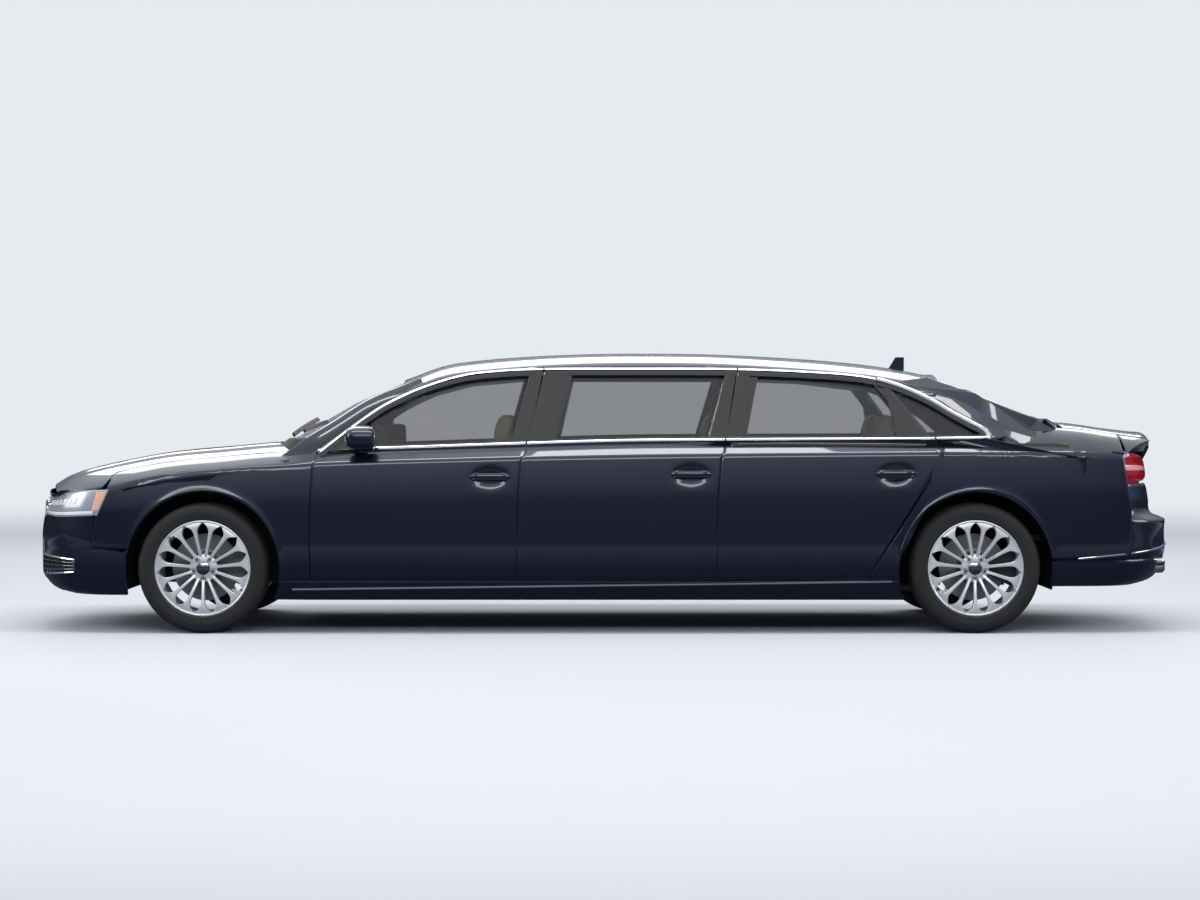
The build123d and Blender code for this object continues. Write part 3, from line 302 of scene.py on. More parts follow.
class Finishes:
    """Every material of the scene."""

    def __init__(self) -> None:
        """Builds the materials by name."""
        self.made: dict[str, Shader] = {}
        self.paint()
        self.glazing()
        self.metals()
        self.soft()

    def __getitem__(self, name: str) -> bpy.types.Material:
        """Material by its name."""
        return self.made[name].material

    def add(self, name: str, **settings) -> Shader:
        """Adds one material."""
        self.made[name] = Shader(name, **settings)
        return self.made[name]

    def paint(self) -> None:
        """Navy metallic paint under a clear coat, and black gloss."""
        navy = self.add("paint", base_color=(0.005, 0.008, 0.026, 1), metallic=0.5, roughness=0.34,
                        coat_weight=1.0, coat_roughness=0.02, specular_ior_level=0.6)
        flake = navy.noise(9000.0, 1.0)
        navy.blend(flake, (0.003, 0.005, 0.017, 1), (0.009, 0.014, 0.044, 1))
        gloss = self.add("gloss_black", base_color=(0.006, 0.006, 0.008, 1), roughness=0.08, coat_weight=1.0,
                         coat_roughness=0.02)
        gloss.drive("Roughness", gloss.noise(40.0) * 0.02 + 0.06)

    def glazing(self) -> None:
        """Tinted glass and lamp lenses."""
        glass = self.add("glass", base_color=(0.030, 0.036, 0.038, 1), roughness=0.02, alpha=0.30,
                         specular_ior_level=0.8, coat_weight=1.0, coat_roughness=0.01)
        glass.drive("Roughness", glass.noise(12.0) * 0.01 + 0.015)
        glass.material.surface_render_method = "BLENDED"
        clear = self.add("lamp_clear", base_color=(0.75, 0.80, 0.86, 1), roughness=0.04, alpha=0.30,
                         coat_weight=1.0)
        clear.drive("Roughness", clear.noise(60.0) * 0.03 + 0.02)
        red = self.add("lamp_red", base_color=(0.30, 0.004, 0.010, 1), roughness=0.08, coat_weight=1.0,
                       coat_roughness=0.02)
        red.bump(red.noise(220.0, 1.0), 0.12, 0.0006)
        for name, colour in (("lamp_pink", (0.75, 0.30, 0.33, 1)), ("amber", (0.85, 0.28, 0.03, 1)),
                             ("lamp_white", (0.86, 0.88, 0.92, 1))):
            lens = self.add(name, base_color=colour, roughness=0.12, coat_weight=1.0)
            lens.bump(lens.noise(300.0, 1.0), 0.10, 0.0004)

    def metals(self) -> None:
        """Bright trim, alloy, cast and coated steel."""
        table = (("chrome", (0.78, 0.78, 0.80, 1), 0.08, 1.0), ("bezel", (0.32, 0.33, 0.36, 1), 0.18, 1.0),
                 ("alloy", (0.74, 0.75, 0.77, 1), 0.36, 0.55), ("disc", (0.30, 0.30, 0.31, 1), 0.36, 1.0),
                 ("cast", (0.16, 0.16, 0.17, 1), 0.55, 0.6), ("steel", (0.05, 0.05, 0.055, 1), 0.50, 0.4))
        for name, colour, rough, metal in table:
            shade = self.add(name, base_color=colour, roughness=rough, metallic=metal)
            shade.drive("Roughness", shade.noise(90.0) * 0.06 + (rough - 0.03))

    def soft(self) -> None:
        """Rubber, plastic, leather and carpet."""
        rubber = self.add("tyre", base_color=(0.012, 0.012, 0.013, 1), roughness=0.72)
        rubber.bump(rubber.noise(900.0), 0.15, 0.0004)
        trim = self.add("trim_black", base_color=(0.010, 0.010, 0.011, 1), roughness=0.55)
        trim.bump(trim.noise(1400.0), 0.12, 0.0003)
        dark = self.add("cabin_dark", base_color=(0.030, 0.026, 0.022, 1), roughness=0.62)
        dark.bump(dark.noise(1200.0), 0.15, 0.0003)
        hide = self.add("leather", base_color=(0.50, 0.41, 0.29, 1), roughness=0.48)
        hide.blend(hide.noise(14.0), (0.45, 0.36, 0.25, 1), (0.56, 0.47, 0.34, 1))
        hide.bump(hide.noise(700.0), 0.25, 0.0006)
        carpet = self.add("carpet", base_color=(0.10, 0.085, 0.065, 1), roughness=0.95)
        carpet.bump(carpet.noise(2500.0), 0.5, 0.001)


class Maker:
    """Makes meshes, finishes them and sets them to ride on a body."""

    def __init__(self, finishes: Finishes) -> None:
        """Keeps what its methods need."""
        self.finishes = finishes
        self.made: list[bpy.types.Object] = []

    def done(self, obj: bpy.types.Object, name: str, finish: str, body: str,
             angle: float = 40.0) -> bpy.types.Object:
        """Names, smooths and places a piece.

        Args:
            obj: the mesh object.
            name: its name.
            finish: material name.
            body: CAD body that it rides on.
            angle: largest angle in degrees that is smoothed over.
        Returns:
            The object.
        """
        obj.name = obj.data.name = name
        bpy.ops.object.select_all(action="DESELECT")
        bpy.context.view_layer.objects.active = obj
        obj.select_set(True)
        bpy.ops.object.transform_apply(location=True, rotation=True, scale=True)
        bpy.ops.object.shade_smooth_by_angle(angle=math.radians(angle))
        if finish:
            obj.data.materials.clear()
            obj.data.materials.append(self.finishes[finish])
        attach(obj, body)
        obj.select_set(False)
        self.made.append(obj)
        return obj

    def grid(self, name: str, nu: int, nv: int, place: Callable[[float, float], Vector], finish: str,
             body: str,
             side: Side = Side.LEFT, roll: float = 0.014, rounding: float = 0.0016) -> bpy.types.Object:
        """Surface patch over a unit square with its edges rolled inwards.

        Args:
            name: name of the piece.
            nu, nv: faces along and up the patch.
            place: left-side point for shares u and v.
            finish: material name.
            body: CAD body that it rides on.
            side: side it is for; the right one is mirrored.
            roll: how far the edges turn in.
            rounding: radius of the turned edge.
        Returns:
            The object.
        """
        bpy.ops.mesh.primitive_grid_add(x_subdivisions=nu + 4, y_subdivisions=nv + 4, size=2)
        obj = bpy.context.object

        def share(index: int, count: int) -> tuple[float, int]:
            """Share of a grid line and how far it lies past the edge."""
            inner = min(max(index - 2, 0), count)
            return inner / count, abs(index - 2 - inner)

        middle = place(0.5, 0.5)
        facing = (place(0.51, 0.5) - middle).cross(place(0.5, 0.51) - middle)
        turned = -1 if facing.dot(middle - Vector((middle.x * 0.8, 0, 0.6))) < 0 else 1
        for vertex in obj.data.vertices:
            u, over_u = share(round((vertex.co.x + 1) / 2 * (nu + 4)), nu)
            v, over_v = share(round((vertex.co.y + 1) / 2 * (nv + 4)), nv)
            at = place(u, v)
            du = place(min(u + 0.01, 1.0), v) - place(max(u - 0.01, 0.0), v)
            dv = place(u, min(v + 0.01, 1.0)) - place(u, max(v - 0.01, 0.0))
            normal = du.cross(dv)
            normal = normal.normalized() * turned if normal.length > 1e-12 else Vector((0, -1, 0))
            over = max(over_u, over_v)
            depth = (0.0, rounding, roll)[over]
            if over == 0:
                pull = Vector()
                if u in (0.0, 1.0):
                    pull += du.normalized() * (rounding if u == 0.0 else -rounding)
                if v in (0.0, 1.0):
                    pull += dv.normalized() * (rounding if v == 0.0 else -rounding)
                at = at + pull
            at = at - normal * depth
            vertex.co = at if side is Side.LEFT else Vector((at.x, -at.y, at.z))
        if (side is Side.RIGHT) != (turned < 0):
            bpy.ops.object.mode_set(mode="EDIT")
            bpy.ops.mesh.select_all(action="SELECT")
            bpy.ops.mesh.flip_normals()
            bpy.ops.object.mode_set(mode="OBJECT")
        return self.done(obj, name, finish, body, 60.0)

    def strip(self, name: str, points: Sequence[Vector], outward: Sequence[Vector], wide: float, proud: float,
              finish: str, body: str, side: Side = Side.LEFT, closed: bool = False,
              rounded: bool = True) -> bpy.types.Object:
        """Moulding laid along a line.

        Args:
            name: name of the piece.
            points: left-side points of its middle line.
            outward: outward direction at each point.
            wide: width across the line.
            proud: height over the surface.
            finish: material name.
            body: CAD body that it rides on.
            side: side it is for.
            closed: whether the line closes on itself.
            rounded: half-round section where true, flat with eased edges where false.
        Returns:
            The object.
        """
        count = len(points)
        section = [(-0.5, -0.6), (-0.5, 0.25), (-0.36, 0.75), (0.0, 1.0), (0.36, 0.75), (0.5, 0.25), (0.5,
            -0.6)]
        if not rounded:
            section = [(-0.5, -0.6), (-0.5, 0.8), (-0.42, 1.0), (0.42, 1.0), (0.5, 0.8), (0.5, -0.6)]
        mesh, shape = bpy.data.meshes.new(name), bmesh.new()
        rings = []
        for i, point in enumerate(points):
            after = points[(i + 1) % count] if closed or i + 1 < count else point
            before = points[i - 1] if closed or i else point
            run = (after - before).normalized()
            up = outward[i].normalized()
            across = run.cross(up).normalized()
            ring = []
            for a, b in section:
                at = point + across * (a * wide) + up * (b * proud)
                if side is Side.RIGHT:
                    at = Vector((at.x, -at.y, at.z))
                ring.append(shape.verts.new(at))
            rings.append(ring)
        pairs = list(zip(rings, rings[1:] + rings[:1])) if closed else list(zip(rings, rings[1:]))
        for a, b in pairs:
            for k in range(len(section)):
                n = (k + 1) % len(section)
                shape.faces.new((a[k], a[n], b[n], b[k]))
        if not closed:
            shape.faces.new(rings[0])
            shape.faces.new(rings[-1])
        bmesh.ops.recalc_face_normals(shape, faces=shape.faces)
        shape.to_mesh(mesh)
        shape.free()
        obj = bpy.data.objects.new(name, mesh)
        bpy.context.collection.objects.link(obj)
        return self.done(obj, name, finish, body, 35.0)

    def box(self, name: str, low: Sequence[float], high: Sequence[float], finish: str, body: str,
            bevel: float = 0.003, segments: int = 3) -> bpy.types.Object:
        """Box between two corners with rounded edges.

        Args:
            name: name of the piece.
            low, high: opposite corners in metres.
            finish: material name.
            body: CAD body that it rides on.
            bevel: radius of the edges.
            segments: steps of the rounding.
        Returns:
            The object.
        """
        low, high = Vector(low), Vector(high)
        bpy.ops.mesh.primitive_cube_add(size=1, location=(low + high) / 2)
        obj = bpy.context.object
        obj.scale = Vector(abs(c) for c in high - low)
        bpy.ops.object.transform_apply(location=True, rotation=True, scale=True)
        if bevel:
            bpy.ops.object.mode_set(mode="EDIT")
            bpy.ops.mesh.select_all(action="SELECT")
            bpy.ops.mesh.bevel(offset=bevel, segments=segments, affect="EDGES")
            bpy.ops.object.mode_set(mode="OBJECT")
        return self.done(obj, name, finish, body)

    def lathe(self, profile: Sequence[Point], steps: int) -> bpy.types.Object:
        """Surface spun about the Y axis from (radius, y) points in metres, closed on itself.

        Args:
            profile: points of the section in order.
            steps: number of steps of the turn.
        Returns:
            The raw object.
        """
        mesh, shape = bpy.data.meshes.new("lathe"), bmesh.new()
        ring = [shape.verts.new((r, y, 0)) for r, y in profile]
        edges = [shape.edges.new((ring[i], ring[(i + 1) % len(ring)])) for i in range(len(ring))]
        bmesh.ops.spin(shape, geom=ring + edges, cent=(0, 0, 0), axis=(0, 1, 0), angle=2 * math.pi,
                       steps=steps,
                       use_merge=True)
        bmesh.ops.remove_doubles(shape, verts=shape.verts, dist=1e-6)
        bmesh.ops.recalc_face_normals(shape, faces=shape.faces)
        shape.to_mesh(mesh)
        shape.free()
        obj = bpy.data.objects.new("lathe", mesh)
        bpy.context.collection.objects.link(obj)
        return obj

    def joined(self, objects: Sequence[bpy.types.Object]) -> bpy.types.Object:
        """One object from several raw ones."""
        bpy.ops.object.select_all(action="DESELECT")
        for obj in objects:
            obj.select_set(True)
        bpy.context.view_layer.objects.active = objects[0]
        bpy.ops.object.join()
        return bpy.context.object


def lerp(a: float, b: float, t: float) -> float:
    """Value at share t between two."""
    return a + (b - a) * t


def table_at(table: Sequence[float], v: float) -> float:
    """Value of an evenly spaced table at share v."""
    spot = min(max(v, 0.0), 1.0) * (len(table) - 1)
    low = min(int(spot), len(table) - 2)
    return lerp(table[low], table[low + 1], spot - low)


class Nose:
    """Wrap-around surfaces of the two ends, read by a share s from the middle (0) to the left side (1)."""

    front = Path((-3162, 0), (-3158, 250), (-3146, 430), (-3124, 580), (-3066, 715), (-2985, 815), (-2880,
        880),
                 (-2780, 914), (-2700, 926), (-2612, 935))
    front_lean = Curve((195, 250), (215, 110), (245, 45), (290, 8), (340, 0), (540, 2), (650, 20), (730, 40),
                       (800, 66))
    rear = Path((3173, 0), (3168, 260), (3153, 450), (3120, 620), (3060, 745), (2980, 838), (2890, 892),
                (2760, 921), (2600, 936), (2447, 942))
    rear_lean = Curve((245, 260), (262, 150), (325, 40), (400, 10), (454, 0), (600, 0), (618, 6), (632, 60),
                      (650, 92), (720, 108), (820, 124), (925, 142), (1000, 126))

    @classmethod
    def reach(cls, path: Path, lean: Curve, y: float, z: float) -> float:
        """How far an end goes lengthwise at a width and height."""
        s = next((k / 60 for k in range(60) if abs(path(k / 60).y) >= abs(y)), 1.0)
        return abs(path(s).x) - lean(z) * max(0.0, 1 - s**2.2)

    @classmethod
    def point(cls, path: Path, lean: Curve, s: float, z: float, proud: float = 0.0) -> Vector:
        """Point of an end at share s and height z."""
        flat = path(s)
        step = path(min(s + 0.01, 1)) - path(max(s - 0.01, 0))
        out = Vector((-step.y, step.x)).normalized()
        if out.x * flat.x < 0:
            out = -out
        give = lean(z) * max(0.0, 1 - s**2.2)
        x = flat.x - math.copysign(give, flat.x)
        y = flat.y * Form.side(flat.x, min(z, Form.crease(flat.x))) / Form.plan(flat.x)
        return Vector((x + out.x * proud, -abs(y) - abs(out.y) * proud, z))


@dataclass
class Lines:
    """Shut lines of the body in mm, from the foot up."""
    front: Path = Path((-1602, 288), (-1606, 600), (-1597, 800), (-1591, 917), (-1574, 990))
    middle: Path = Path((-476, 288), (-474, 600), (-460, 860), (-444, 985), (-424, 1036))
    rear: Path = Path((616, 292), (618, 600), (634, 860), (650, 1000), (664, 1056))
    end: Path = Path((1437, 300), (1510, 410), (1592, 537), (1720, 727), (1821, 893), (1846, 981), (1815,
        1062))

    def of_door(self, index: int) -> tuple[Path, Path]:
        """Front and rear lines of a door."""
        lines = (self.front, self.middle, self.rear, self.end)
        return lines[index], lines[index + 1]


HANDLES = ((-622, 857), (474, 870), (1592, 873))
SHOULDER = 0.075


class Panels:
    """Painted skins of the body."""

    def __init__(self, maker: Maker) -> None:
        """Keeps what its methods need."""
        self.maker, self.lines = maker, Lines()

    def build(self) -> None:
        """Makes every painted skin; the roof, bonnet, boot and bumper skins hide the plain CAD piece each
        stands for.
        """
        for side in Side:
            for index in range(3):
                self.door(index, side)
            self.fender(side)
            self.quarter(side)
            self.sill(side)
            self.rear_corner(side)
            self.arches(side)
            self.pillars(side)
        self.roof()
        self.bonnet()
        self.boot()
        self.bumpers()

    @staticmethod
    def rows(low: float, x: float) -> list[float]:
        """Heights of a door's rows, close together where the crease turns."""
        crease = Form.crease(x)
        rows = [lerp(low, crease - 0.016, k / 26) for k in range(27)]
        return rows + [crease - 0.006, crease + 0.003, crease + 0.012, crease + 0.035, crease + SHOULDER]

    def door(self, index: int, side: Side) -> None:
        """Lower skin of one door with the bowl behind its handle."""
        front, rear = self.lines.of_door(index)
        bowl_x, bowl_z = HANDLES[index][0] * MM, HANDLES[index][1] * MM - 0.006

        def place(u: float, v: float) -> Vector:
            """Point of the patch at shares u and v."""
            a, b = front(v), rear(v)
            low = lerp(front(0).y, rear(0).y, u)
            x = lerp(a.x, b.x, u)
            w = table_at(self.rows(low, x), v)
            point = Form.skin(x, w)
            away = ((x - bowl_x) / 0.085)**2 + ((w - bowl_z) / 0.040)**2
            point.y += 0.013 * math.exp(-away**2)
            return point

        name = f"{ROWS[index]}_door_skin_{side.word}"
        self.maker.grid(name, 72, 31, place, "paint", f"{ROWS[index]}_door_{side.word}", side, rounding=0.002)

    def polar(self, name: str, centre: Point, angles: Point, outer: Path, side: Side) -> None:
        """Skin that fans out from a wheel arch to an outer line given along x and w."""
        radius = 0.421

        def place(u: float, v: float) -> Vector:
            """Point of the patch at shares u and v."""
            angle = math.radians(lerp(angles[0], angles[1], u))
            inner = Vector((centre[0] * MM + radius * math.cos(angle),
                            centre[1] * MM + radius * math.sin(angle)))
            far = outer(u)
            x, w = lerp(inner.x, far.x, v), lerp(inner.y, far.y, v)
            point = Form.skin(x, w)
            lip = max(0.0, 1 - v * (far - inner).length / 0.040)
            point.y -= 0.005 * lip**2
            return point

        self.maker.grid(name, 110, 30, place, "paint", "body", side, roll=0.030)

    def fender(self, side: Side) -> None:
        """Front fender around its arch."""
        outer = Path((-2800, 462), (-2794, 560), (-2777, 640), (-2722, 770), (-2712, 860), (-2704, 985),
                     (-2400, 1076), (-2100, 1117), (-1900, 1132), (-1740, 1140), (-1660, 1075), (-1576, 1001),
                     (-1594, 917), (-1600, 800), (-1609, 600), (-1605, 288))
        self.polar(f"front_fender_skin_{side.word}", (-2191, 356), (165.5, -9.5), outer, side)

    def quarter(self, side: Side) -> None:
        """Rear quarter from the door round the arch to lamp and bumper."""
        outer = Path((1440, 292), (1514, 407), (1596, 534), (1724, 724), (1825, 890), (1850, 981), (1820,
            1058),
                     (1980, 1058), (2130, 1062), (2350, 1180), (2540, 1264), (2700, 1262), (2855, 1236),
                     (2846, 1100), (2844, 985), (2866, 817), (2884, 690), (2886, 560), (2886, 410))
        self.polar(f"rear_quarter_skin_{side.word}", (2029, 356), (187.5, 6.5), outer, side)

    def sill(self, side: Side) -> None:
        """Rocker under the doors with its turned-under foot."""
        def place(u: float, v: float) -> Vector:
            """Point of the patch at shares u and v."""
            z = lerp(0.180, 0.284, v)
            start = -2.191 + math.sqrt(0.421**2 - (0.356 - z)**2)
            end = 2.029 - math.sqrt(0.421**2 - (0.356 - z)**2)
            x = lerp(start, end, u)
            point = Form.skin(x, z)
            point.y += 0.004
            return point

        self.maker.grid(f"sill_skin_{side.word}", 90, 8, place, "paint", "body", side, roll=0.030)

    def rear_corner(self, side: Side) -> None:
        """Top of the corner over a tail lamp."""
        def place(u: float, v: float) -> Vector:
            """Point of the patch at shares u and v."""
            foot = Nose.point(Nose.rear, Nose.rear_lean, lerp(0.722, 0.454, u), 0.988, 0.002)
            brow = Vector((3.094 - 0.06 * (0.646 / 0.64)**2, -0.646, 0))
            outer = Vector((2.858, -Form.side(2.858, Form.crease(2.858)), 0)).lerp(brow, u**0.8)
            inner = Vector((2.858, -0.646, 0)).lerp(brow, u)
            if v < 0.35:
                flat = outer
                flat.z = Form.top(flat.x, flat.y)
                return foot.lerp(flat, (v / 0.35)**0.8)
            flat = outer.lerp(inner, (v - 0.35) / 0.65)
            flat.z = Form.top(flat.x, flat.y)
            return flat

        self.maker.grid(f"rear_corner_skin_{side.word}", 24, 20, place, "paint", "body", side, roll=0.006)

    def arches(self, side: Side) -> None:
        """Dark linings inside both wheel arches."""
        for name, centre in (("front", -2.191), ("rear", 2.029)):
            def place(u: float, v: float) -> Vector:
                """Point of the patch at shares u and v."""
                angle = math.radians(lerp(196, -16, u))
                return Vector((centre + 0.437 * math.cos(angle), lerp(-0.905, -0.500, v),
                               0.356 + 0.437 * math.sin(angle)))

            self.maker.grid(f"{name}_arch_lining_{side.word}", 48, 8, place, "trim_black", "body", side,
                            roll=0.004)

            def wall(u: float, v: float) -> Vector:
                """Point of the inner wall at shares u and v."""
                angle = math.radians(lerp(196, -16, u))
                reach = lerp(0.437, 0.150, v)
                return Vector((centre + reach * math.cos(angle), -0.500, 0.356 + reach * math.sin(angle)))

            self.maker.grid(f"{name}_arch_wall_{side.word}", 48, 6, wall, "trim_black", "body", side,
                            roll=0.004)

    def pillars(self, side: Side) -> None:
        """Painted windscreen pillar and the broad rear pillar."""
        outer_a = Path((-1672, -872, 955), (-1574, -872, 986), (-1400, -812, 1119), (-1225, -744, 1243),
                       (-1100, -706, 1313),
                       (-1000, -683, 1352))
        inner_a = Path((-1782, -800, 962), (-1654, -796, 1060), (-1500, -752, 1156), (-1318, -688, 1274),
                       (-1136, -638, 1357), (-1020, -604, 1411))

        def windscreen_pillar(u: float, v: float) -> Vector:
            """Point of the windscreen pillar at shares u and v."""
            a, b = outer_a(u), inner_a(u)
            bulge = Vector((-0.35, -0.75, 0.45)) * (0.016 * 4 * v * (1 - v) * min(1.0, u / 0.2,
                (1 - u) / 0.4))
            sink = Vector((0.10, 0.25, -0.50)) * (0.022 * max(0.0, (u - 0.78) / 0.22))
            return a.lerp(b, v) + bulge + sink

        self.maker.grid(f"windscreen_pillar_{side.word}", 36, 8, windscreen_pillar, "paint", "body", side)
        outer_c = Path((2130, -878, 1064), (2091, -826, 1110), (2020, -803, 1152), (1924, -774, 1206),
                       (1815, -738, 1272), (1700, -708, 1330), (1560, -680, 1380))
        inner_c = Path((2505, -668, 1112), (2440, -656, 1160), (2304, -648, 1212), (2139, -634, 1278),
                       (1979, -620, 1342), (1872, -604, 1384), (1800, -590, 1412))

        def rear_pillar(u: float, v: float) -> Vector:
            """Point of the rear pillar at shares u and v."""
            a, b = outer_c(u), inner_c(u)
            bulge = Vector((0.20, -0.70, 0.60)) * (0.014 * 4 * v * (1 - v) * min(1.0, u / 0.3, (1 - u) / 0.4))
            sink = Vector((-0.10, 0.30, -0.55)) * (0.016 * max(0.0, (u - 0.80) / 0.20))
            return a.lerp(b, v) + bulge + sink

        self.maker.grid(f"rear_pillar_{side.word}", 36, 12, rear_pillar, "paint", "body", side)

    def roof(self) -> None:
        """Roof from one surround over the middle to the other."""
        def place(u: float, v: float) -> Vector:
            """Point of the patch at shares u and v."""
            x = lerp(-1.085, 1.835, v)
            bow = 0.05 * (1 - abs(2 * u - 1)**2)
            x += bow * (1 - 2 * v)**3 * -1
            return Form.roof_point(x, 1 - u)

        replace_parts(self.maker.grid("roof_skin", 64, 90, place, "paint", "body"), "roof_panel")

    def bonnet(self) -> None:
        """Bonnet with two soft ridges."""
        def place(u: float, v: float) -> Vector:
            """Point of the patch at shares u and v."""
            across = 1 - 2 * u
            x0 = -3.118 + 0.062 * abs(across)**2 + 0.05 * abs(across)**6
            x1 = -1.846 + 0.142 * abs(across)**3
            x = lerp(x0, x1, v)
            wide = Form.side(x, Form.crease(x)) * 0.992
            t = max(0.0, min(1.0, (x + 2.745) / 0.045))
            y = across * lerp(wide, 0.7175, t)
            z = Form.top(x, y)
            ridge = math.exp(-((abs(y) - 0.44 + 0.05 * v) / 0.045)**2)
            return Vector((x, y, z + 0.006 * ridge))

        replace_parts(self.maker.grid("bonnet_skin", 84, 96, place, "paint", "bonnet", roll=0.018), "bonnet")

    def boot(self) -> None:
        """Boot lid with its lip and rear face."""
        line = Path((2556, 0), (2700, 0), (2821, 0), (2930, 0), (3006, 0), (3060, 0), (3089, -20), (3094,
            -42),
                    (3082, -70), (3050, -130), (3034, -180), (3034, -250), (3044, -320), (3058, -362))

        def place(u: float, v: float) -> Vector:
            """Point of the patch at shares u and v."""
            y, spot = lerp(0.637, -0.637, u), line(v)
            x = spot.x - 0.06 * (y / 0.64)**2 * max(0.0, (spot.x - 2.55) / 0.5)
            base = Form.top(min(x, 3.06), y)
            return Vector((x, y, base + spot.y))

        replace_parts(self.maker.grid("boot_lid_skin", 64, 70, place, "paint", "boot_lid", roll=0.018),
                    "boot_lid")

    def bumpers(self) -> None:
        """Front and rear bumper skins."""
        def front(u: float, v: float) -> Vector:
            """Point of the front bumper at shares u and v."""
            z = lerp(0.205, 0.788, v)
            full = lerp(1.0, 0.852, min(max((z - 0.448) / 0.016, 0.0), 1.0))
            s = abs(2 * u - 1) * full
            point = Nose.point(Nose.front, Nose.front_lean, s, z)
            crease = Form.crease(point.x)
            if z > crease - 0.02:
                point.z = min(z, crease + 0.02)
            blend = max(0.0, (v - 0.82) / 0.18)**1.5 * min(1.0, max(0.0, (0.74 - s) / 0.12))
            if blend:
                across = min(1.0, abs(point.y) / 0.84)
                edge = Vector((-3.114 + 0.062 * across**2 + 0.05 * across**6, point.y, 0))
                edge.z = Form.top(edge.x, edge.y) - 0.010
                point = point.lerp(edge, blend)
            point.y *= 1 if u > 0.5 else -1
            return point

        skin = self.maker.grid("front_bumper_skin", 120, 40, front, "paint", "body", roll=0.020)
        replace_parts(skin, "front_bumper")

        def rear(u: float, v: float) -> Vector:
            """Point of the rear bumper at shares u and v."""
            z = lerp(0.255, 0.765, v)
            full = lerp(1.0, 0.694, min(max((z - 0.396) / 0.016, 0.0), 1.0))
            s = abs(2 * u - 1) * full
            z += 0.052 * max(0.0, (v - 0.8) / 0.2) * min(1.0, max(0.0, (s - 0.40) / 0.08))
            point = Nose.point(Nose.rear, Nose.rear_lean, s, z)
            point.y *= -1 if u > 0.5 else 1
            return point

        skin = self.maker.grid("rear_bumper_skin", 120, 40, rear, "paint", "body", roll=0.020)
        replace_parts(skin, "rear_bumper")


class Clamped:
    """CAD pieces of the body drawn in under the skins."""

    nodes = {"body_sides": "body", "front_fenders": "body"}

    def __init__(self, maker: Maker) -> None:
        """Keeps what its methods need."""
        self.maker = maker

    def build(self) -> None:
        """Copies each painted CAD piece, draws it in and lets the copy stand for it."""
        pieces = dict(self.nodes)
        for row in ROWS:
            for side in Side:
                pieces[f"{row}_door_{side.word}"] = f"{row}_door_{side.word}"
        for node, body in pieces.items():
            source = frame["nodes"][node]
            obj = source.copy()
            obj.data = source.data.copy()
            obj.parent = None
            bpy.context.collection.objects.link(obj)
            for vertex in obj.data.vertices:
                vertex.co = self.inward(vertex.co)
            self.maker.done(obj, f"{node}_inner", "gloss_black" if "door" in node else "paint", body)
            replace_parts(obj, node)

    @staticmethod
    def inward(co: Vector, gap: float = 0.006) -> Vector:
        """Point drawn in under the master surfaces by a gap."""
        x, y, z = co
        if x < -2.5:
            x = max(x, 0.035 - Nose.reach(Nose.front, Nose.front_lean, y, z))
        if x > 2.5:
            x = min(x, Nose.reach(Nose.rear, Nose.rear_lean, y, z) - 0.035)
        sign = math.copysign(1, y)
        crease = Form.crease(x)
        if x < -1.80 or x > 2.20:
            gap += 0.022
        if z < crease:
            y = sign * min(abs(y), Form.side(x, z) - gap)
        elif z < 1.05 and -1.7 < x < 2.1:
            share = (z - crease) / max(Form.belt(x) - crease, 0.03)
            y = sign * min(abs(y), Form.side(x, crease) - SHOULDER * min(share, 1.0) - gap)
        if z > Form.belt(x) + 0.01 and -1.75 < x < 2.25:
            y = sign * min(abs(y), abs(Form.glass(x, z).y) - (0.026 if x > 1.72 or x < -1.20 else 0.001))
            z = min(z, Form.roof(x) - gap - 0.05 * (y / 0.6)**2) if z > 1.30 else z
        if x < -1.80 or x > 2.15:
            z = min(z, Form.top(x, y) - gap) if z > 0.70 else z
        return Vector((x, y, z))


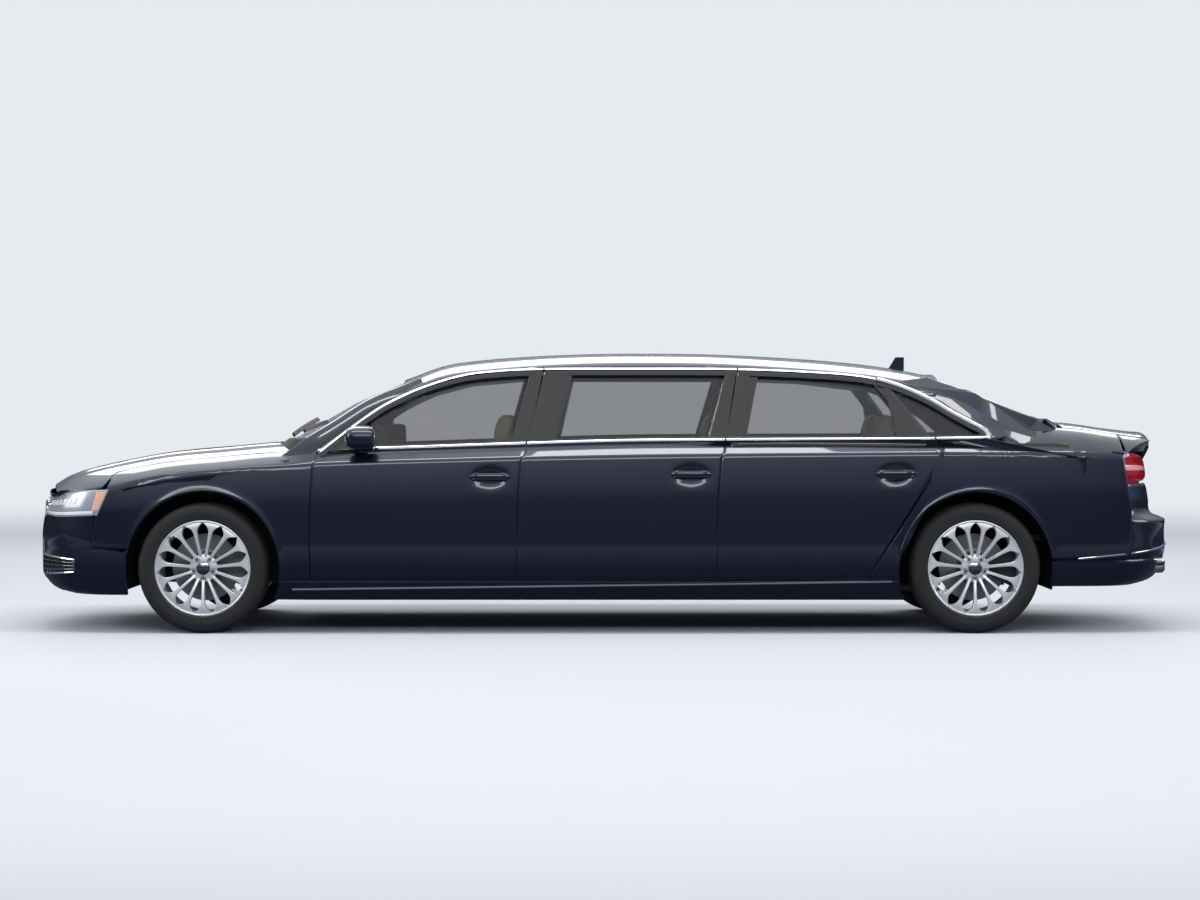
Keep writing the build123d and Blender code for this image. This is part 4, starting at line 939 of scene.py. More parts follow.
class Wheels:
    """Alloy wheels, tyres and their hardware."""

    radius, rim, width = 0.356, 0.262, 0.232
    centres = {"front": (-2.191, 0.822), "rear": (2.029, 0.8175)}

    def __init__(self, maker: Maker) -> None:
        """Keeps what its methods need."""
        self.maker = maker

    def build(self) -> None:
        """Makes the four wheels with their tyres."""
        for row, (x, y) in self.centres.items():
            for side in Side:
                move = Matrix.Translation((x, side.value * y, self.radius))
                if side is Side.RIGHT:
                    move = move @ Matrix.Rotation(math.pi, 4, "Z")
                body = f"{row}_wheel_{side.word}"
                for kind, make, finish in (("rim", self.rim_object, "alloy"), ("spokes", self.spokes,
                    "alloy"),
                                           ("hub_parts", self.hub_parts, "bezel"), ("disc", self.disc,
                                               "disc"),
                                           ("tyre_skin", self.tyre, "tyre")):
                    obj = make()
                    obj.data.transform(move)
                    self.maker.done(obj, f"{body}_{kind}", finish, body, 35.0)
                    if kind == "spokes":
                        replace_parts(obj, body)
                    if kind == "tyre_skin":
                        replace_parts(obj, f"{row}_tyre_{side.word}")

    def rim_object(self) -> bpy.types.Object:
        """Rim barrel and lip, outer face towards -Y."""
        r, half = self.rim, self.width / 2
        profile = [(r - 0.001, -half), (r + 0.0015, -half + 0.004), (r - 0.002, -half + 0.016), (r - 0.004,
            half),
                   (r - 0.020, half), (r - 0.022, -half + 0.060), (r - 0.019, -half + 0.030),
                   (r - 0.012, -half + 0.010), (r - 0.010, -half + 0.002), (r - 0.006, -half - 0.001)]
        return self.maker.lathe(profile, 96)

    def spokes(self) -> bpy.types.Object:
        """Fifteen spokes that flare into wide feet at the rim, with the hub pad they grow from."""
        mesh, shape = bpy.data.meshes.new("spokes"), bmesh.new()
        face = -self.width / 2
        stations = ((0.060, 0.0085, 0.034, 0.052), (0.084, 0.0075, 0.024, 0.060), (0.120, 0.0072, 0.016,
            0.058),
                    (0.160, 0.0080, 0.010, 0.050), (0.196, 0.0100, 0.007, 0.046), (0.214, 0.0150, 0.006,
                        0.046),
                    (0.228, 0.0270, 0.006, 0.048), (0.240, 0.0440, 0.007, 0.050), (0.2495, 0.0500, 0.009,
                        0.050))
        for number in range(15):
            turn = Matrix.Rotation(math.radians(90 + number * 24), 3, "Y")
            rings = []
            for r, half, front, back in stations:
                ease = min(half * 0.35, 0.004)
                section = [(-half, face + back), (-half, face + front + ease), (-half + ease, face + front),
                           (half - ease, face + front), (half, face + front + ease), (half, face + back)]
                rings.append([shape.verts.new(turn @ Vector((r, y, c))) for c, y in section])
            for a, b in zip(rings, rings[1:]):
                for k in range(6):
                    n = (k + 1) % 6
                    shape.faces.new((a[k], a[n], b[n], b[k]))
            shape.faces.new(rings[0])
            shape.faces.new(rings[-1])
        bmesh.ops.recalc_face_normals(shape, faces=shape.faces)
        shape.to_mesh(mesh)
        shape.free()
        spokes = bpy.data.objects.new("spokes", mesh)
        bpy.context.collection.objects.link(spokes)
        hub = self.maker.lathe([(0.0001, face + 0.060), (0.076, face + 0.060), (0.078, face + 0.046),
                                (0.075, face + 0.038), (0.066, face + 0.034), (0.041, face + 0.033),
                                (0.040, face + 0.030), (0.0001, face + 0.030)], 60)
        return self.maker.joined([spokes, hub])

    def hub_parts(self) -> bpy.types.Object:
        """Blank centre cap, five lug bolts in their recesses and the valve."""
        face = -self.width / 2
        cap = self.maker.lathe([(0.0001, face + 0.031), (0.0375, face + 0.031), (0.0375, face + 0.025),
                                (0.034, face + 0.0225), (0.0001, face + 0.021)], 48)
        pieces = [cap]
        for number in range(5):
            angle = math.radians(-90 + number * 72)
            at = Matrix.Translation((0.056 * math.cos(angle), 0, 0.056 * math.sin(angle)))
            ring = self.maker.lathe([(0.0125, face + 0.0350), (0.0145, face + 0.0350), (0.0150,
                face + 0.0325),
                                     (0.0120, face + 0.0325)], 24)
            bolt = self.maker.lathe([(0.0001, face + 0.0345), (0.0085, face + 0.0345), (0.0085,
                face + 0.0290),
                                     (0.0065, face + 0.0270), (0.0001, face + 0.0270)], 6)
            for obj in (ring, bolt):
                obj.data.transform(at)
                pieces.append(obj)
        stem = self.maker.lathe([(0.0001, -0.022), (0.0042, -0.022), (0.0042, 0.014), (0.0001, 0.014)], 12)
        angle = math.radians(132)
        stem.data.transform(Matrix.Translation((0.234 * math.cos(angle), face + 0.014,
                                                0.234 * math.sin(angle))))
        pieces.append(stem)
        return self.maker.joined(pieces)

    def disc(self) -> bpy.types.Object:
        """Brake disc with its bell."""
        y = 0.038
        ring = self.maker.lathe([(0.100, y - 0.014), (0.184, y - 0.014), (0.184, y - 0.005), (0.178,
            y - 0.004),
                                 (0.178, y + 0.004), (0.184, y + 0.005), (0.184, y + 0.014), (0.100,
                                     y + 0.014)], 72)
        bell = self.maker.lathe([(0.0001, y - 0.060), (0.082, y - 0.060), (0.088, y - 0.052), (0.090,
            y - 0.014),
                                 (0.106, y - 0.012), (0.106, y + 0.010), (0.0001, y + 0.010)], 60)
        return self.maker.joined([ring, bell])

    def tyre(self) -> bpy.types.Object:
        """Tyre with sidewall ribs and four tread grooves."""
        half, r = 0.1265, self.radius
        side = [(self.rim - 0.004, -half + 0.020), (self.rim + 0.004, -half + 0.006), (self.rim + 0.010,
            -half + 0.001),
                (self.rim + 0.016, -half + 0.002), (self.rim + 0.020, -half + 0.0005), (r - 0.052,
                    -half - 0.0005),
                (r - 0.044, -half), (r - 0.042, -half + 0.0018), (r - 0.030, -half + 0.003),
                (r - 0.018, -half + 0.009), (r - 0.008, -half + 0.019), (r - 0.002, -half + 0.034)]
        tread = []
        for middle in (-0.060, -0.021, 0.021, 0.060):
            tread += [(r, middle - 0.0052), (r - 0.007, middle - 0.0035), (r - 0.007, middle + 0.0035),
                      (r, middle + 0.0052)]
        other = [(radius, -y) for radius, y in reversed(side)]
        return self.maker.lathe(side + tread + other, 128)


class Trims:
    """Bright mouldings, glazing panels, lamps, handles, mirrors and small fittings."""

    def __init__(self, maker: Maker) -> None:
        """Keeps what its methods need."""
        self.maker, self.lines = maker, Lines()

    def build(self) -> None:
        """Makes every fitting on both sides and the middle ones once."""
        for side in Side:
            self.belt(side)
            self.surround(side)
            self.posts(side)
            self.handles(side)
            self.mirror(side)
            self.sill_strip(side)
            self.headlamp(side)
            self.tail_lamp(side)
            self.intake(side)
            self.exhaust(side)
        self.grille()
        self.cowl()
        self.rear_strip()

    def patch(self, name: str, place, finish: str, body: str, side: Side, nu: int = 24,
              nv: int = 8) -> bpy.types.Object:
        """Thin piece lying on the body."""
        return self.maker.grid(name, nu, nv, place, finish, body, side, roll=0.006, rounding=0.001)

    def along_belt(self, x0: float, x1: float, count: int) -> tuple[list[Vector], list[Vector]]:
        """Points and outward directions of the belt line between two places."""
        points, out = [], []
        for k in range(count):
            x = lerp(x0, x1, k / (count - 1))
            point = Form.skin(x, Form.crease(x) + SHOULDER)
            points.append(Vector((x, point.y - 0.001, Form.belt(x) + 0.004)))
            out.append(Vector((0, -0.88, 0.47)))
        return points, out

    def belt(self, side: Side) -> None:
        """Bright belt moulding, one length on each door."""
        spans = ((-1566, -430, "front_door"), (-420, 660, "middle_door"), (670, 1812, "rear_door"),
                 (1822, 2118, "body"))
        for k, (x0, x1, body) in enumerate(spans):
            points, out = self.along_belt(x0 * MM, x1 * MM, 40)
            rides = body if body == "body" else f"{body}_{side.word}"
            self.maker.strip(f"belt_strip_{k}_{side.word}", points, out, 0.017, 0.007, "chrome", rides, side)
            seal, away = [p + Vector((0, 0.013, 0.010)) for p in points], out
            self.maker.strip(f"belt_seal_{k}_{side.word}", seal, away, 0.020, 0.004, "trim_black", rides,
                             side)

    def surround(self, side: Side) -> None:
        """Bright moulding over the side windows, broader towards the tail, with its black inner frame."""
        spans = ((-1552, -338, "front_door"), (-328, 736, "middle_door"), (746, 1504, "rear_door"),
                 (1512, 2127, "body"))
        for k, (x0, x1, body) in enumerate(spans):
            rides = body if body == "body" else f"{body}_{side.word}"
            points, out, seal = [], [], []
            for n in range(56):
                x = lerp(x0, x1, n / 55) * MM
                z = Form.surround(x)
                points.append(Form.glass(x, z, 0.010))
                seal.append(Form.glass(x, z - 0.022, 0.004))
                out.append(Vector((0, -1, 0.53)))
            wide = 0.016 if x1 < 1600 else 0.024
            self.maker.strip(f"surround_{k}_{side.word}", points, out, wide, 0.009, "chrome", rides, side)
            self.maker.strip(f"surround_seal_{k}_{side.word}", seal, out, 0.030, 0.004, "gloss_black",
                             rides, side,
                             rounded=False)

    def posts(self, side: Side) -> None:
        """Gloss black panels between the side windows, one for each door frame edge."""
        panels = (("front_door", (-516, 1034), (-408, 1434), (-428, 1034), (-339, 1442)),
                  ("middle_door", (-418, 1036), (-329, 1442), (-266, 1040), (-170, 1442)),
                  ("middle_door", (574, 1050), (679, 1438), (658, 1052), (736, 1436)),
                  ("rear_door", (668, 1052), (746, 1436), (776, 1053), (812, 1434)),
                  ("rear_door", (1612, 1060), (1544, 1366), (1800, 1062), (1552, 1370)))
        for k, (body, low_a, high_a, low_b, high_b) in enumerate(panels):
            def place(u: float, v: float) -> Vector:
                """Point of the patch at shares u and v."""
                x = lerp(lerp(low_a[0], high_a[0], v), lerp(low_b[0], high_b[0], v), u) * MM
                z = lerp(lerp(low_a[1], high_a[1], v), lerp(low_b[1], high_b[1], v), u) * MM
                return Form.glass(x, z, 0.006)

            self.patch(f"post_panel_{k}_{side.word}", place, "gloss_black", f"{body}_{side.word}", side, 6,
                       16)

        def sail(u: float, v: float) -> Vector:
            """Point of the corner panel at shares u and v."""
            x = lerp(lerp(-1548, -1340, u), -1322, v * 0.9) * MM
            z = lerp(1.000, Form.surround(x) - 0.006, v)
            return Form.glass(x, z, 0.006)

        self.patch(f"mirror_sail_{side.word}", sail, "gloss_black", f"front_door_{side.word}", side, 8, 10)

    def handles(self, side: Side) -> None:
        """Pull bar over each bowl with a bright edge."""
        for row, (x, z) in zip(ROWS, HANDLES):
            points, out, edge = [], [], []
            for n in range(25):
                t = n / 24 * 2 - 1
                at = x * MM + t * 0.106
                skin = Form.skin(at, z * MM)
                stand = 0.030 - 0.026 * t**6 - 0.006 * t**2
                points.append(skin + Vector((0, -stand, 0.004)))
                edge.append(skin + Vector((0, -stand - 0.001, -0.013)))
                out.append(Vector((0, -1, 0.15)))
            body = f"{row}_door_{side.word}"
            self.maker.strip(f"{row}_handle_{side.word}", points, out, 0.030, 0.010, "paint", body, side)
            self.maker.strip(f"{row}_handle_edge_{side.word}", edge, out, 0.005, 0.006, "chrome", body, side)

    def mirror(self, side: Side) -> None:
        """Painted mirror shell on its foot with the glass facing back."""
        body = f"front_door_{side.word}"
        sign = side.value
        bpy.ops.mesh.primitive_uv_sphere_add(segments=40, ring_count=24, radius=1)
        shell = bpy.context.object
        for vertex in shell.data.vertices:
            co = vertex.co
            x = math.copysign(abs(co.x)**0.60, co.x) * 0.094
            y = math.copysign(abs(co.y)**0.55, co.y) * 0.110
            z = math.copysign(abs(co.z)**0.62, co.z) * 0.068
            x = min(x, 0.062)
            z *= 1 - 2.0 * max(y, 0.0)
            vertex.co = Vector((-1.312 + x, sign * (0.984 + y), 1.066 + z))
        self.maker.done(shell, f"mirror_shell_{side.word}", "paint", body, 60.0)
        low, high = Vector((-1.262, sign * 0.896, 1.018)), Vector((-1.244, sign * 1.076, 1.116))
        self.maker.box(f"mirror_frame_{side.word}", low - Vector((0.010, 0, 0)), high, "trim_black", body,
                       0.006)
        self.maker.box(f"mirror_glass_{side.word}", (-1.246, sign * 0.904, 1.026), (-1.241, sign * 1.068,
            1.108),
                       "chrome", body, 0.001, 1)
        self.maker.box(f"mirror_foot_{side.word}", (-1.372, sign * 0.842, 1.004), (-1.296, sign * 0.930,
            1.034),
                       "gloss_black", body, 0.010)

    def sill_strip(self, side: Side) -> None:
        """Bright line along the rocker."""
        points, out = [], []
        for n in range(60):
            x = lerp(-1.705, 1.570, n / 59)
            z = lerp(0.240, 0.284, n / 59) - 0.002
            points.append(Form.skin(x, z) + Vector((0, 0.002, 0)))
            out.append(Vector((0, -1, -0.2)))
        self.maker.strip(f"sill_strip_{side.word}", points, out, 0.013, 0.006, "chrome", "body", side)

    @staticmethod
    def lamp_point(s: float, v: float, proud: float) -> Vector:
        """Point of the headlamp area; s from its inner end (0) to the rear end on the side (1)."""
        low = table_at((0.668, 0.650, 0.640, 0.634, 0.634, 0.638, 0.644), s)
        high = table_at((0.676, 0.724, 0.746, 0.760, 0.772, 0.782, 0.786), s)
        z = lerp(low, high, v)
        end = lerp(0.872, 0.918, v)
        return Nose.point(Nose.front, Nose.front_lean, lerp(0.386, end, s), z, proud)

    def headlamp(self, side: Side) -> None:
        """Headlamp: bright bezel, row of light blocks, white strip, amber end and clear lens."""
        def shell(u: float, v: float) -> Vector:
            """Point of the housing at shares u and v."""
            return self.lamp_point(1 - u, v, 0.003)

        bezel = self.patch(f"headlamp_bezel_{side.word}", shell, "bezel", "body", side, 60, 12)
        if side is Side.LEFT:
            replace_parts(bezel, "headlamps")
        for k in range(7):
            s = lerp(0.34, 0.70, k / 6)

            def segment(u: float, v: float) -> Vector:
                """Point of the light block at shares u and v."""
                return self.lamp_point(s + 0.036 * (0.5 - u), lerp(0.50, 0.74, v), 0.007)

            self.patch(f"headlamp_block_{k}_{side.word}", segment, "lamp_white", "body", side, 4, 4)

        def strip(u: float, v: float) -> Vector:
            """Point of the light strip at shares u and v."""
            return self.lamp_point(lerp(0.94, 0.06, u), lerp(0.07, 0.19, v), 0.008)

        self.patch(f"headlamp_strip_{side.word}", strip, "lamp_white", "body", side, 50, 3)

        def wedge(u: float, v: float) -> Vector:
            """Point of the amber end at shares u and v."""
            return self.lamp_point(lerp(0.985, 0.925 - 0.03 * v, u), lerp(0.20, 0.92, v), 0.007)

        self.patch(f"headlamp_amber_{side.word}", wedge, "amber", "body", side, 6, 8)
        for k, s in enumerate((0.16, 0.25)):
            middle = self.lamp_point(s, 0.52, 0.004)
            out = (self.lamp_point(s, 0.52, 0.02) - middle).normalized()
            bowl = self.maker.lathe([(0.026, -0.010), (0.032, -0.010), (0.033, 0.004), (0.0001, 0.004),
                                     (0.0001, -0.002), (0.018, -0.003)], 40)
            turn = Vector((0, -1, 0)).rotation_difference(out).to_matrix().to_4x4()
            bowl.data.transform(Matrix.Translation(middle) @ turn)
            if side is Side.RIGHT:
                bowl.data.transform(Matrix.Scale(-1, 4, (0, 1, 0)))
                bowl.data.flip_normals()
            self.maker.done(bowl, f"headlamp_bowl_{k}_{side.word}", "chrome", "body")

        def lens(u: float, v: float) -> Vector:
            """Point of the clear lens at shares u and v."""
            return self.lamp_point(1 - u, v, 0.014)

        self.maker.grid(f"headlamp_lens_{side.word}", 60, 12, lens, "lamp_clear", "body", side, roll=0.012)

    def tail_lamp(self, side: Side) -> None:
        """Tail lamp that wraps the corner, with its pale bar."""
        def area(s: float, v: float, proud: float) -> Vector:
            """Point of the area, standing out by a distance."""
            low = table_at((0.846, 0.830, 0.822, 0.818, 0.818), s)
            high = table_at((0.940, 0.966, 0.980, 0.986, 0.987), s)
            end = lerp(0.694, 0.722, v)
            return Nose.point(Nose.rear, Nose.rear_lean, lerp(0.454, end, s), lerp(low, high, v), proud)

        def shell(u: float, v: float) -> Vector:
            """Point of the housing at shares u and v."""
            return area(u, v, 0.002 + 0.010 * math.sin(math.pi * v)**0.5)

        skin = self.maker.grid(f"tail_lamp_skin_{side.word}", 50, 14, shell, "lamp_red", "body", side,
                               roll=0.020)
        if side is Side.LEFT:
            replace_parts(skin, "tail_lamps")

        def bar(u: float, v: float) -> Vector:
            """Point of the pale bar at shares u and v."""
            return area(lerp(0.10, 0.93, u), lerp(0.42, 0.60, v), 0.0145)

        self.patch(f"tail_lamp_bar_{side.word}", bar, "lamp_pink", "body", side, 40, 4)

    def intake(self, side: Side) -> None:
        """Lower intake in the bumper with a bright frame and cross bars."""
        def spot(s: float, v: float, proud: float) -> Vector:
            """Point of the area, standing out by a distance."""
            low = table_at((0.312, 0.312, 0.318, 0.330), s)
            high = table_at((0.420, 0.416, 0.410, 0.398), s)
            return Nose.point(Nose.front, Nose.front_lean, lerp(0.400, 0.760, s), lerp(low, high, v), proud)

        def back(u: float, v: float) -> Vector:
            """Point of the dark backing at shares u and v."""
            return spot(1 - u, v, 0.002)

        self.patch(f"intake_back_{side.word}", back, "trim_black", "body", side, 30, 8)
        loop = [(k / 30, 0.0) for k in range(31)] + [(1.0, k / 8) for k in range(1, 8)]
        loop += [(1 - k / 30, 1.0) for k in range(31)] + [(0.0, 1 - k / 8) for k in range(1, 8)]
        points = [spot(s, v, 0.002) for s, v in loop]
        out = [(spot(s, v, 0.03) - spot(s, v, 0.0)).normalized() for s, v in loop]
        self.maker.strip(f"intake_frame_{side.word}", points, out, 0.013, 0.009, "chrome", "body", side,
                         closed=True)
        for k in range(1, 4):
            line = [spot(n / 20, k / 4, 0.002) for n in range(21)]
            away = [(spot(n / 20, k / 4, 0.03) - spot(n / 20, k / 4, 0.0)).normalized() for n in range(21)]
            self.maker.strip(f"intake_bar_{k}_{side.word}", line, away, 0.008, 0.006, "gloss_black",
                             "body", side)
        for k in range(1, 8):
            line = [spot(k / 8, n / 6, 0.002) for n in range(7)]
            away = [(spot(k / 8, n / 6, 0.03) - spot(k / 8, n / 6, 0.0)).normalized() for n in range(7)]
            self.maker.strip(f"intake_upright_{k}_{side.word}", line, away, 0.006, 0.005, "gloss_black",
                             "body", side)

    def grille(self) -> None:
        """Bright grille frame with bars, and the plain lower opening."""
        half = ((0.300, 0.250), (0.395, 0.290), (0.428, 0.420), (0.430, 0.640), (0.395, 0.735), (0.300,
            0.764))
        loop = [(y, z) for y, z in half] + [(-y, z) for y, z in reversed(half)]

        def spot(y: float, z: float, proud: float) -> Vector:
            """Point of the area, standing out by a distance."""
            s = min(range(0, 81), key=lambda k: abs(abs(Nose.front(k / 200).y) - abs(y))) / 200
            at = Nose.point(Nose.front, Nose.front_lean, s, z, proud)
            return Vector((at.x, y, z))

        def back(u: float, v: float) -> Vector:
            """Point of the dark backing at shares u and v."""
            z = lerp(0.255, 0.760, v)
            wide = table_at((0.300, 0.400, 0.420, 0.430, 0.430, 0.432, 0.426, 0.400, 0.300), v)
            return spot(lerp(-wide, wide, 1 - u), z, 0.003)

        self.patch("grille_back", back, "trim_black", "body", Side.LEFT, 30, 20)
        dense = []
        for (y0, z0), (y1, z1) in zip(loop, loop[1:] + loop[:1]):
            dense += [(lerp(y0, y1, k / 10), lerp(z0, z1, k / 10)) for k in range(10)]
        points = [spot(y, z, 0.004) for y, z in dense]
        out = [Vector((-1, 0, 0.08)) for _ in dense]
        frame_piece = self.maker.strip("grille_surround", points, out, 0.022, 0.016, "chrome", "body",
                                       closed=True)
        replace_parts(frame_piece, "grille")
        for k in range(11):
            z = lerp(0.300, 0.730, k / 10)
            wide = 0.405 if 0.3 < z < 0.70 else 0.385
            line = [spot(lerp(-wide, wide, n / 30), z, 0.008) for n in range(31)]
            self.maker.strip(f"grille_bar_{k}", line, [Vector((-1, 0, 0.1))] * 31, 0.008, 0.008, "bezel",
                             "body")

    def exhaust(self, side: Side) -> None:
        """Bright rim of a tail pipe with its dark mouth."""
        y = side.value * 0.634
        self.maker.box(f"exhaust_rim_{side.word}", (2.925, y - 0.088, 0.318), (3.106, y + 0.088, 0.402),
                       "chrome",
                       "body", 0.020, 4)
        self.maker.box(f"exhaust_mouth_{side.word}", (3.085, y - 0.076, 0.329), (3.1085, y + 0.076, 0.391),
                       "trim_black", "body", 0.010, 3)

    def cowl(self) -> None:
        """Black cowl between bonnet and windscreen with both wipers."""
        def place(u: float, v: float) -> Vector:
            """Point of the patch at shares u and v."""
            across = 1 - 2 * u
            y = across * 0.800
            front = -1.860 + 0.150 * abs(across)**3
            low = Form.top(min(front, -1.70), y) - 0.014
            rear = -1.806 + 0.191 * (y / 0.885)**2
            return Vector((lerp(front, rear, v), y, lerp(low, 1.062, v**1.3)))

        self.maker.grid("cowl_panel", 50, 8, place, "trim_black", "body", roll=0.030)

        def shelf(u: float, v: float) -> Vector:
            """Point of the ledge at shares u and v."""
            y = lerp(0.668, -0.668, u)
            front = Vector((2.530 - 0.149 * (y / 0.885)**2, y, 1.172))
            back = 2.566 - 0.05 * (y / 0.668)**2
            return front.lerp(Vector((back, y, Form.top(back, y) - 0.006)), 1 - v)

        self.maker.grid("rear_window_foot", 50, 5, shelf, "gloss_black", "body", roll=0.012)
        for k, (pivot, tip) in enumerate((((-1.728, -0.60), (-1.655, 0.02)), ((-1.745, 0.10), (-1.665,
            0.64)))):
            points = []
            for n in range(20):
                t = n / 19
                x, y = lerp(pivot[0], tip[0], t), lerp(pivot[1], tip[1], t)
                points.append(Vector((x, y, 1.098 + 0.030 * t + 0.50 * (x - pivot[0]) - 0.05 * y * y)))
            self.maker.strip(f"wiper_{k}", points, [Vector((-0.5, 0, 0.86))] * 20, 0.014, 0.016,
                             "trim_black", "body")

    def rear_strip(self) -> None:
        """Bright line round the rear bumper."""
        points, out = [], []
        for n in range(81):
            s = abs(2 * n / 80 - 1) * 0.90
            z = 0.478 - 0.072 * max(0.0, (s - 0.36) / 0.54)
            left = n < 40
            at = Nose.point(Nose.rear, Nose.rear_lean, s, z, 0.001)
            away = Nose.point(Nose.rear, Nose.rear_lean, s, z, 0.03) - at
            if not left:
                at.y, away.y = -at.y, -away.y
            points.append(at)
            out.append(away.normalized())
        self.maker.strip("rear_bumper_strip", points, out, 0.014, 0.006, "chrome", "body")


class Cabin:
    """Padded seats, steering wheel and inner trim."""

    rows = {"front_seats": -0.6837, "middle_seats": 0.5088, "rear_seats": 1.4628}

    def __init__(self, maker: Maker) -> None:
        """Keeps what its methods need."""
        self.maker = maker

    def build(self) -> None:
        """Makes the seats and hides the plain CAD ones, then the wheel, trim and carpet."""
        for node, x in self.rows.items():
            parts = []
            for y in (-0.37, 0.37):
                parts += self.seat(x, y)
            seats = self.maker.joined(parts)
            self.maker.done(seats, f"{node}_padded", "leather", "body", 60.0)
            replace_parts(seats, node)
            for y in (-0.37, 0.37):
                self.maker.box(f"{node}_base_{'left' if y < 0 else 'right'}", (x - 0.44, y - 0.20, 0.236),
                               (x - 0.08, y + 0.20, 0.36), "cabin_dark", "body", 0.012)
        self.wheel()
        self.trim()

    def cushion(self, size: Sequence[float], crown: float, place: Matrix,
                channels: int = 0) -> bpy.types.Object:
        """Soft block: crowned faces, rounded edges and sewn channels.

        Args:
            size: length, width and thickness in metres.
            crown: how far the top face swells.
            place: where it goes.
            channels: number of sewn channels across the top.
        Returns:
            The raw object.
        """
        bpy.ops.mesh.primitive_cube_add(size=1)
        obj = bpy.context.object
        bpy.ops.object.mode_set(mode="EDIT")
        bpy.ops.mesh.select_all(action="SELECT")
        bpy.ops.mesh.subdivide(number_cuts=22)
        bpy.ops.object.mode_set(mode="OBJECT")
        for vertex in obj.data.vertices:
            u, v, w = (c * 2 for c in vertex.co)
            round_x = (1 - 0.10 * abs(v)**6 - 0.16 * abs(w)**5)
            round_y = (1 - 0.10 * abs(u)**6 - 0.12 * abs(w)**5)
            round_z = 1 - 0.20 * max(abs(u), abs(v))**6
            swell = crown * (1 - u * u) * (1 - v * v) if w > 0 else 0
            sewn = 0.0
            if channels and w > 0.9 and abs(v) < 0.62:
                sewn = -0.006 * abs(math.cos(math.pi * channels * (u + 1) / 2))**8
            vertex.co = Vector((u * size[0] / 2 * round_x, v * size[1] / 2 * round_y,
                                w * size[2] / 2 * round_z + swell + sewn))
        obj.data.transform(place)
        return obj

    def seat(self, x: float, y: float) -> list[bpy.types.Object]:
        """Cushion, leaning back with side bolsters and headrest of one seat."""
        lean = Matrix.Rotation(math.radians(16), 4, "Y") @ Matrix.Rotation(math.radians(-90), 4, "Y")
        foot = Matrix.Translation((x - 0.150, y, 0.415))
        parts = [
            self.cushion((0.52, 0.52, 0.150), 0.022, Matrix.Translation((x - 0.27, y, 0.412)), 5),
            self.cushion((0.60, 0.50, 0.125), 0.020, foot @ lean @ Matrix.Translation((0.320, 0, -0.072)), 7),
            self.cushion((0.165, 0.275, 0.092), 0.010, foot @ lean @ Matrix.Translation((0.742, 0, -0.072))),
        ]
        for end in (-1, 1):
            parts.append(self.cushion((0.50, 0.085, 0.165), 0.008,
                                      Matrix.Translation((x - 0.27, y + end * 0.222, 0.418))))
            parts.append(self.cushion((0.52, 0.080, 0.150), 0.008,
                                      foot @ lean @ Matrix.Translation((0.310, end * 0.212, -0.060))))
        return parts

    def wheel(self) -> None:
        """Steering wheel with a padded hub."""
        place = Matrix.Translation((-1.2561, -0.37, 0.773)) @ Matrix.Rotation(math.radians(65), 4, "Y")
        bpy.ops.mesh.primitive_torus_add(major_radius=0.185, minor_radius=0.0145, major_segments=64,
                                         minor_segments=14)
        rim = bpy.context.object
        rim.data.transform(place)
        hub = self.cushion((0.15, 0.13, 0.030), 0.008, place)
        parts = [rim, hub]
        for angle in (90, 270, 0):
            turn = Matrix.Rotation(math.radians(angle), 4, "Z") @ Matrix.Translation((0.118, 0, 0))
            parts.append(self.cushion((0.130, 0.030, 0.014), 0.002, place @ turn))
        wheel = self.maker.joined(parts)
        self.maker.done(wheel, "steering_wheel_padded", "cabin_dark", "steering_wheel", 60.0)
        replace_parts(wheel, "steering_wheel")

    def trim(self) -> None:
        """Post trims, roof lining, carpets and door linings."""
        def lining(u: float, v: float) -> Vector:
            """Point of the roof lining at shares u and v."""
            x = lerp(-0.96, 1.70, v)
            point = Form.roof_point(x, lerp(0.88, 0.12, u))
            return point + Vector((0, 0, -0.030))

        self.maker.grid("roof_lining", 24, 30, lining, "leather", "body", roll=0.004)
        self.maker.box("carpet", (-1.70, -0.735, 0.2355), (1.76, 0.735, 0.243), "carpet", "body", 0.001, 1)
        for side in Side:
            for x, low, high in ((-0.47, -0.40, -0.345), (0.625, 0.665, 0.730)):
                def post(u: float, v: float) -> Vector:
                    """Point of the post trim at shares u and v."""
                    z = lerp(0.95, 1.43, v)
                    base = Form.glass(lerp(low, high, v), z, -0.072)
                    return Vector((base.x + lerp(-0.058, 0.058, u), base.y, base.z))

                self.maker.grid(f"post_trim_{'front' if x < 0 else 'rear'}_{side.word}", 6, 12, post,
                                "leather",
                                "body", side, roll=0.030)
            for row, (a, b) in zip(ROWS, ((-1.50, -0.52), (-0.42, 0.57), (0.70, 1.40))):
                def card(u: float, v: float) -> Vector:
                    """Point of the door lining at shares u and v."""
                    x = lerp(b, a, u)
                    z = lerp(0.34, Form.belt(x) - 0.010, v)
                    y = -(Form.side(x, min(z, Form.crease(x))) - 0.112 - 0.030 * v**3)
                    return Vector((x, y, z))

                self.maker.grid(f"{row}_door_card_{side.word}", 20, 16, card, "leather",
                                f"{row}_door_{side.word}",
                                side, roll=0.010)


